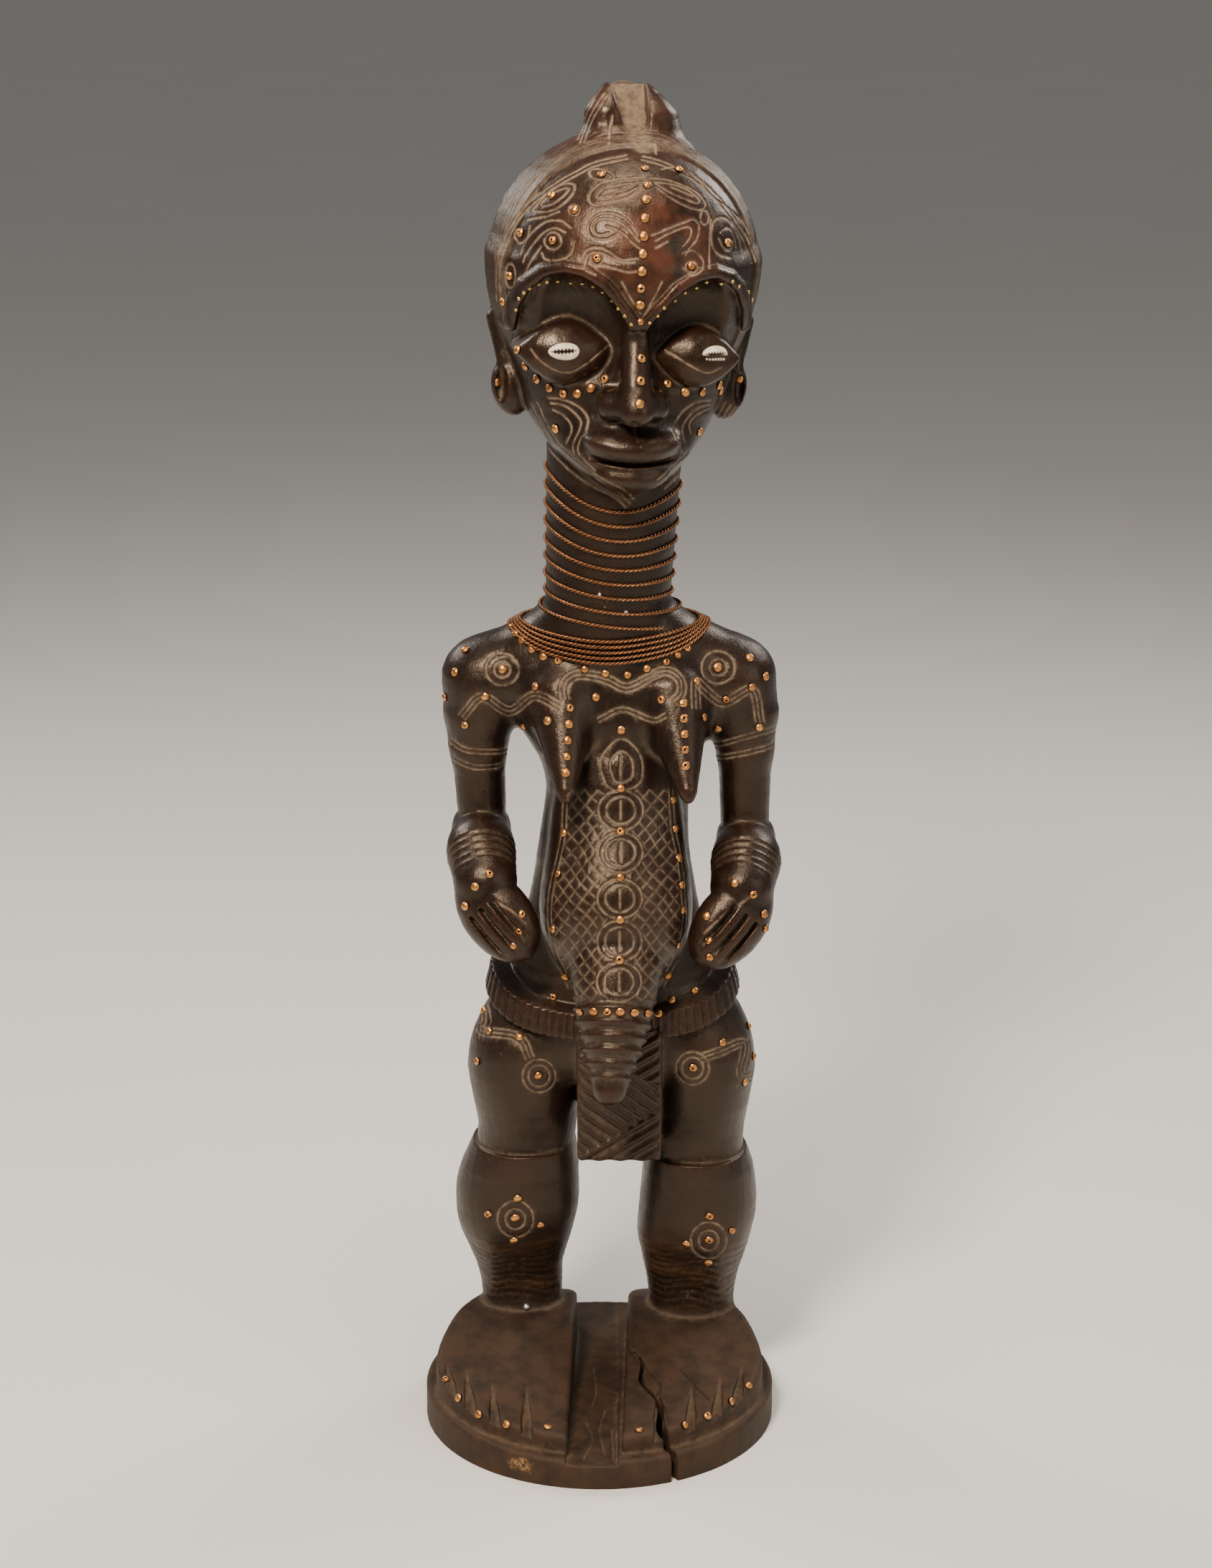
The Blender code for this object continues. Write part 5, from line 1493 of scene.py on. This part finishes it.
def dome(made, place, normal, radius, rise, pitted, shade, layers):
    """One tack head: a low dome with a rolled rim, some with a small hole in the middle."""
    turn = normal.to_track_quat("Z", "Y").to_matrix()
    profile = [(1.0, -0.35), (1.0, 0.22), (0.93, 0.42), (0.74, 0.72), (0.45, 0.92)]
    if pitted:
        profile += [(0.34, 0.96), (0.27, 0.45)]
    rings = []
    for share, height in profile:
        ring = []
        for k in range(TACK_SIDES):
            angle = 2 * math.pi * k / TACK_SIDES
            across, up = math.cos(angle) * share * radius, math.sin(angle) * share * radius
            spot = Vector((across, up, height * rise))
            ring.append(made.verts.new(place + turn @ spot))
        rings.append(ring)
    top = made.verts.new(place + normal * rise * (0.3 if pitted else 1.0))
    foot = made.verts.new(place - normal * rise * 0.35)
    for one, two in zip(rings, rings[1:]):
        for k in range(TACK_SIDES):
            after = (k + 1) % TACK_SIDES
            made.faces.new((one[k], one[after], two[after], two[k]))
    for k in range(TACK_SIDES):
        after = (k + 1) % TACK_SIDES
        made.faces.new((rings[-1][k], rings[-1][after], top))
        made.faces.new((rings[0][after], rings[0][k], foot))
    # Near black at the foot of the dome where it meets the wood, and painted shade on the wall and bottom
    # of the pit
    for ring, (share, height) in zip(rings, profile):
        for vert in ring:
            vert[layers["tone"]] = shade
            vert[layers["edge"]] = 1.0 if height < 0.3 or (pitted and share < 0.3) else 0.0
    top[layers["tone"]] = shade
    top[layers["edge"]] = 1.0 if pitted else 0.0
    foot[layers["tone"]] = shade
    foot[layers["edge"]] = 1.0


def node_rows():
    """The part's own tack nodes, by row, with the middle of each."""
    rows = {}
    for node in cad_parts:
        if node.startswith("tack_"):
            rows.setdefault(node.rsplit("_", 1)[0], []).append((node, middle_of(node)))
    return rows


def make_tack_piece(name, seats, look, nodes, draw):
    """One piece with a dome at each seat. A seat is a place, a way out and a size."""
    made = bmesh.new()
    layers = {key: made.verts.layers.float.new(key) for key in ("tone", "edge")}
    for place, normal, size in seats:
        small = size == BRASS_SIZE
        radius = (BRASS_DIAMETER if small else TACK_DIAMETER * size) / 2
        rise = BRASS_RISE if small else TACK_RISE
        tilt = Vector([draw.uniform(-TACK_TILT, TACK_TILT) for _ in range(3)])
        wide = radius * draw.uniform(0.94, 1.06)
        pitted = draw.random() < PITTED_SHARE
        dome(made, place, (normal + tilt).normalized(), wide, rise, pitted, draw.random(), layers)
    finish_piece(placed(name, smooth_mesh(name, made)), look, "copper", *nodes)


def make_tacks(surface, copper, brass):
    draw = random.Random(7)
    taken = []
    for row, members in sorted(node_rows().items()):
        seats = []
        for node, middle in members:
            place, normal = surface.nearest(middle)
            seats.append((place, surface.even_normal(place, normal, 0.0015), 1.05))
            taken.append(place)
        make_tack_piece(row.replace("tack_", "tacks_"), seats, copper, [node for node, _ in members], draw)
    own = list(taken)
    for name, size, pixels in PHOTO_TACKS:
        large = size > BRASS_SIZE
        seats = []
        for u, v in pixels:
            place, normal = surface.hit(CAMERA_PLACE, sight(u, v))
            if place is None:
                continue
            if large and min((place - other).length for other in own) < ROW_TACK_GAP:
                continue
            if large and min((place - other).length for other in taken) < LEAST_TACK_GAP:
                continue
            seats.append((place, surface.even_normal(place, normal, 0.0012), size))
            if large:
                taken.append(place)
        if seats:
            make_tack_piece(name, seats, copper if large else brass, [], draw)


# Cowries and pins

COWRIES = (("cowrie_left", 1.0, False), ("cowrie_right", 0.86, True))
COWRIE_ROUND = 44
COWRIE_TEETH = 9
COWRIE_FULLNESS = 0.6


def make_cowrie(surface, name, length_share, broken, look):
    """A cowrie with its toothed slit outwards, let into the eye. The broken one has lost its lower lip."""
    middle = middle_of(name)
    place, normal = surface.nearest(middle)
    normal = surface.even_normal(place, normal, 0.003)
    half = (COWRIE_LENGTH / 2 * length_share, COWRIE_WIDTH / 2, COWRIE_HEIGHT)
    across = (Vector((1.0, 0.0, 0.0)) - normal * normal.x).normalized()
    turn = Matrix((across, normal.cross(across), normal)).transposed()
    made = bmesh.new()
    slit_layer = made.verts.layers.float.new("slit")
    bmesh.ops.create_uvsphere(made, u_segments=COWRIE_ROUND * 2, v_segments=COWRIE_ROUND, radius=1.0)
    for vert in made.verts:
        spot = vert.co.copy()
        front = spot.z > 0.0
        open_end = max(0.0, 1.0 - (abs(spot.x) / 0.9) ** 4)
        line = spot.y - 0.05 * math.sin(spot.x * 3.0)
        tooth = 0.5 + 0.5 * math.cos(spot.x * math.pi * COWRIE_TEETH)
        reach = (0.10 + 0.20 * (1.0 - tooth)) * open_end + 0.001
        slit = smooth_number(1.3, 0.7, abs(line) / reach) * open_end if front else 0.0
        if broken and front:
            stub = tooth * math.exp(-((line + 0.55) / 0.12) ** 2)
            slit = max(slit, smooth_number(-0.02, -0.16, line) * (1.0 - min(1.0, 1.6 * stub)))
        rise = half[2] * (0.96 - 0.45 * slit)
        along = half[0] * spot.x
        aside = half[1] * spot.y * (1.0 + 0.12 * spot.x)
        full = math.copysign(abs(spot.z) ** COWRIE_FULLNESS, spot.z)
        vert.co = middle + turn @ Vector((along, aside, rise * full))
        vert[slit_layer] = slit
    shell = "shell_" + name
    finish_piece(placed(shell, smooth_mesh(shell, made)), look, "cowrie_shell", name)


def smooth_number(low, high, value):
    t = min(max((value - low) / (high - low), 0.0), 1.0)
    return t * t * (3.0 - 2.0 * t)


PINS = (("neck_pin_left", (835, 828), 0.0011), ("neck_pin_right", (872, 853), 0.0011),
        ("ankle_pin", (733, 1820), 0.0019))


def make_pins(surface, look):
    for name, pixel, radius in PINS:
        place, normal = surface.hit(CAMERA_PLACE, sight(*pixel))
        made = bmesh.new()
        turn = normal.to_track_quat("Z", "Y").to_matrix().to_4x4()
        turn.translation = place
        bmesh.ops.create_uvsphere(made, u_segments=12, v_segments=8, radius=radius, matrix=turn)
        finish_piece(placed(name, smooth_mesh(name, made)), look, "copper")


# Finishes

class Look:
    """A node material, built up step by step."""

    def __init__(self, name):
        self.material = bpy.data.materials.new(name)
        self.material.use_nodes = True
        self.tree = self.material.node_tree
        self.shader = self.tree.nodes["Principled BSDF"]

    def node(self, kind, **values):
        made = self.tree.nodes.new(kind)
        for key, value in values.items():
            setattr(made, key, value)
        return made

    def link(self, source, target):
        self.tree.links.new(source, target)

    def feed(self, socket, value):
        """Give a socket a number, a colour or what another node puts out."""
        if isinstance(value, tuple):
            socket.default_value = (*value, 1.0)
        elif isinstance(value, float):
            socket.default_value = value
        else:
            self.link(value, socket)

    def mask(self, name):
        return self.node("ShaderNodeAttribute", attribute_name=name).outputs["Fac"]

    def noise(self, scale, detail=4.0, stretch=(1.0, 1.0, 1.0), roughness=0.55):
        place = self.node("ShaderNodeTexCoord").outputs["Object"]
        mapping = self.node("ShaderNodeMapping")
        mapping.inputs["Scale"].default_value = stretch
        self.link(place, mapping.inputs["Vector"])
        made = self.node("ShaderNodeTexNoise")
        for key, value in (("Scale", scale), ("Detail", detail), ("Roughness", roughness)):
            made.inputs[key].default_value = value
        self.link(mapping.outputs["Vector"], made.inputs["Vector"])
        return made.outputs["Fac"]

    def spread(self, value, low, high, out_low=0.0, out_high=1.0):
        made = self.node("ShaderNodeMapRange")
        for key, end in (("From Min", low), ("From Max", high), ("To Min", out_low), ("To Max", out_high)):
            made.inputs[key].default_value = end
        self.link(value, made.inputs["Value"])
        return made.outputs["Result"]

    def times(self, one, two):
        return self.sum("MULTIPLY", one, two)

    def plus(self, one, two):
        return self.sum("ADD", one, two)

    def sum(self, kind, one, two):
        made = self.node("ShaderNodeMath", operation=kind, use_clamp=True)
        self.feed(made.inputs[0], one)
        self.feed(made.inputs[1], two)
        return made.outputs["Value"]

    def blend(self, share, one, two):
        made = self.node("ShaderNodeMix", data_type="RGBA")
        self.feed(made.inputs[6], one)
        self.feed(made.inputs[7], two)
        self.feed(made.inputs[0], share)
        return made.outputs[2]

    def finished(self, colour, rough, bump):
        """The material, with its last colour, roughness and bump given to the shader."""
        for name, value in (("Base Color", colour), ("Roughness", rough), ("Normal", bump)):
            self.link(value, self.shader.inputs[name])
        return self.material

    def bump(self, height, distance, after=None):
        made = self.node("ShaderNodeBump")
        made.inputs["Distance"].default_value = distance
        self.link(height, made.inputs["Height"])
        if after is not None:
            self.link(after, made.inputs["Normal"])
        return made.outputs["Normal"]


NEARLY_BLACK = (0.0052, 0.0032, 0.0025)
DARK_BROWN = (0.0170, 0.0085, 0.0052)
REDDISH = (0.0620, 0.0175, 0.0075)
DRY_BROWN = (0.0400, 0.0205, 0.0115)
DRY_DARK = (0.0170, 0.0095, 0.0060)
HONEY_SHEEN = (0.1300, 0.0620, 0.0240)
DUST = (0.2300, 0.1700, 0.1150)
BARE = (0.3200, 0.1700, 0.0700)
BLACK = (0.0020, 0.0014, 0.0010)


def wood_look():
    look = Look("oiled_wood_fine")
    broad = look.noise(26.0, 5.0)
    grain = look.noise(170.0, 6.0, (1.0, 1.0, 0.08), 0.62)
    fine = look.noise(900.0, 3.0)
    patchy = look.noise(95.0, 5.0)
    colour = look.blend(look.spread(broad, 0.38, 0.72), NEARLY_BLACK, DARK_BROWN)
    colour = look.blend(look.times(look.spread(grain, 0.50, 0.72), 0.6), colour, DARK_BROWN)
    # Painted highlight: reddish on the crest and eyelids where the light falls, over real rubbing wear on
    # the forehead
    rubbed_and_highlight = look.times(look.mask("rubbed_and_highlight"), look.spread(patchy, 0.36, 0.58))
    colour = look.blend(look.times(rubbed_and_highlight, 0.80), colour, REDDISH)
    worn = look.times(look.mask("proud"), look.spread(fine, 0.35, 0.6))
    colour = look.blend(look.times(worn, 0.35), colour, REDDISH)
    earthy = look.blend(look.spread(patchy, 0.36, 0.62), DRY_DARK, DRY_BROWN)
    dry = look.times(look.mask("dry"), look.spread(grain, 0.10, 0.50, 0.45, 1.0))
    colour = look.blend(dry, colour, earthy)
    # Painted highlight: light brown vertical streaks down the lower legs, with the wood's own streaky tone
    streaks = look.spread(look.noise(120.0, 4.0, (0.12, 0.12, 1.0)), 0.48, 0.66)
    shin_streak_and_sheen = look.times(look.mask("shin_streak_and_sheen"), look.times(streaks, look.spread(broad, 0.3, 0.6)))
    colour = look.blend(look.times(shin_streak_and_sheen, 0.55), colour, HONEY_SHEEN)
    grime = look.spread(look.noise(320.0, 3.0), 0.32, 0.58, 0.25, 1.0)
    dust = look.times(look.mask("dust"), grime)
    dust = look.times(dust, look.spread(patchy, 0.34, 0.56, 0.50, 0.95))
    colour = look.blend(dust, colour, DUST)
    bare = look.times(look.mask("bare"), look.spread(fine, 0.40, 0.55))
    colour = look.blend(bare, colour, BARE)
    # Painted shade: the cracks are coloured near black for the shadow down inside them
    colour = look.blend(look.mask("split"), colour, BLACK)
    look.shader.inputs["Specular IOR Level"].default_value = 0.42
    look.shader.inputs["Specular Tint"].default_value = (1.0, 0.82, 0.66, 1.0)
    rough = look.spread(patchy, 0.3, 0.7, 0.22, 0.36)
    rough = look.plus(rough, look.times(look.mask("dry"), 0.34))
    rough = look.plus(rough, look.times(dust, 0.5))
    rough = look.plus(rough, look.spread(fine, 0.3, 0.7, 0.0, 0.10))
    return look.finished(colour, rough, look.bump(fine, 0.00014, look.bump(grain, 0.00030)))


def metal_look(name, bright, dark, edge, roughness):
    look = Look(name)
    patches = look.noise(420.0, 4.0)
    tone = look.plus(look.times(look.mask("tone"), 0.45), look.spread(patches, 0.35, 0.75, 0.0, 0.6))
    colour = look.blend(tone, bright, dark)
    # Edge colour: near black at the foot of each tack, and painted shade in the pits
    colour = look.blend(look.mask("edge"), colour, edge)
    look.shader.inputs["Metallic"].default_value = 1.0
    rough = look.spread(patches, 0.3, 0.7, roughness, roughness + 0.22)
    return look.finished(colour, rough, look.bump(look.noise(1400.0, 3.0), 0.00008))


def shell_look():
    look = Look("cowrie_fine")
    patches = look.noise(300.0, 4.0)
    colour = look.blend(look.spread(patches, 0.35, 0.7), (0.74, 0.68, 0.55), (0.50, 0.42, 0.29))
    # Painted shade: the slit is coloured near black for the shadowed opening of the shell, which here is
    # only a shallow dip
    colour = look.blend(look.mask("slit"), colour, (0.030, 0.016, 0.010))
    rough = look.spread(patches, 0.3, 0.7, 0.28, 0.45)
    return look.finished(colour, rough, look.bump(look.noise(1200.0, 3.0), 0.00006))


# Floor, light and camera

FLOOR_SIZE = 80.0


def make_stage():
    bpy.ops.mesh.primitive_plane_add(size=FLOOR_SIZE, location=(0.0, 0.0, 0.0))
    floor = bpy.context.object
    floor.name = "floor"
    look = Look("pale_floor")
    colour = look.blend(look.noise(3.0, 2.0), (0.70, 0.69, 0.67), (0.74, 0.73, 0.71))
    look.link(colour, look.shader.inputs["Base Color"])
    look.shader.inputs["Roughness"].default_value = 0.8
    floor.data.materials.append(look.material)


WARM = (1.0, 0.86, 0.70)
NEUTRAL = (1.0, 0.96, 0.91)
LIGHTS = (("key", (-0.38, -1.05, 1.45), 0.30, 36.0, WARM),
          ("fill", (1.30, -0.95, 0.85), 1.0, 6.0, NEUTRAL),
          ("top", (0.05, -0.15, 1.60), 0.5, 12.0, WARM),
          ("back_left", (-1.0, 0.8, 1.2), 0.6, 11.0, NEUTRAL),
          ("back_right", (0.95, 0.85, 1.2), 0.6, 11.0, NEUTRAL))
AIM = (0.0, 0.0, 0.36)


def make_lights():
    for name, place, size, power, colour in LIGHTS:
        light = bpy.data.lights.new(name, "AREA")
        light.energy = power
        light.size = size
        light.color = colour
        lamp = placed(name, light)
        lamp.location = place
        lamp.rotation_euler = (Vector(AIM) - Vector(place)).to_track_quat("-Z", "Y").to_euler()
    world = bpy.data.worlds.new("studio")
    world.use_nodes = True
    world.node_tree.nodes["Background"].inputs["Color"].default_value = (0.86, 0.84, 0.81, 1.0)
    world.node_tree.nodes["Background"].inputs["Strength"].default_value = 0.24
    bpy.context.scene.world = world


def make_camera():
    camera = bpy.data.cameras.new("camera")
    camera.sensor_fit = "VERTICAL"
    camera.sensor_height = SENSOR_HEIGHT
    camera.lens = FOCAL_PIXELS / FRAME_HEIGHT * SENSOR_HEIGHT
    stand = placed("camera", camera)
    stand.location = CAMERA_PLACE
    stand.rotation_euler = (math.pi / 2 - CAMERA_TILT, 0.0, 0.0)
    bpy.context.scene.camera = stand


make_camera()
make_stage()
make_lights()
WOOD = wood_look()
COPPER = metal_look("aged_copper", (0.78, 0.38, 0.13), (0.30, 0.12, 0.04), (0.035, 0.018, 0.010), 0.26)
WIRE = metal_look("twisted_copper", (0.30, 0.14, 0.065), (0.045, 0.020, 0.010), (0.02, 0.010, 0.007), 0.34)
BRASS = metal_look("small_brass", (0.78, 0.55, 0.18), (0.45, 0.28, 0.08), (0.10, 0.06, 0.02), 0.25)
STEEL = metal_look("pin_steel", (0.80, 0.79, 0.76), (0.60, 0.59, 0.57), (0.20, 0.20, 0.20), 0.22)
pieces = [make_wood(name, WOOD) for name in PARTS]
skin = Surface(pieces)
make_neck_wire(skin, WIRE)
make_collar(skin, WIRE)
make_tacks(skin, COPPER, BRASS)
for cowrie in COWRIES:
    make_cowrie(skin, *cowrie, shell_look())
make_pins(skin, STEEL)
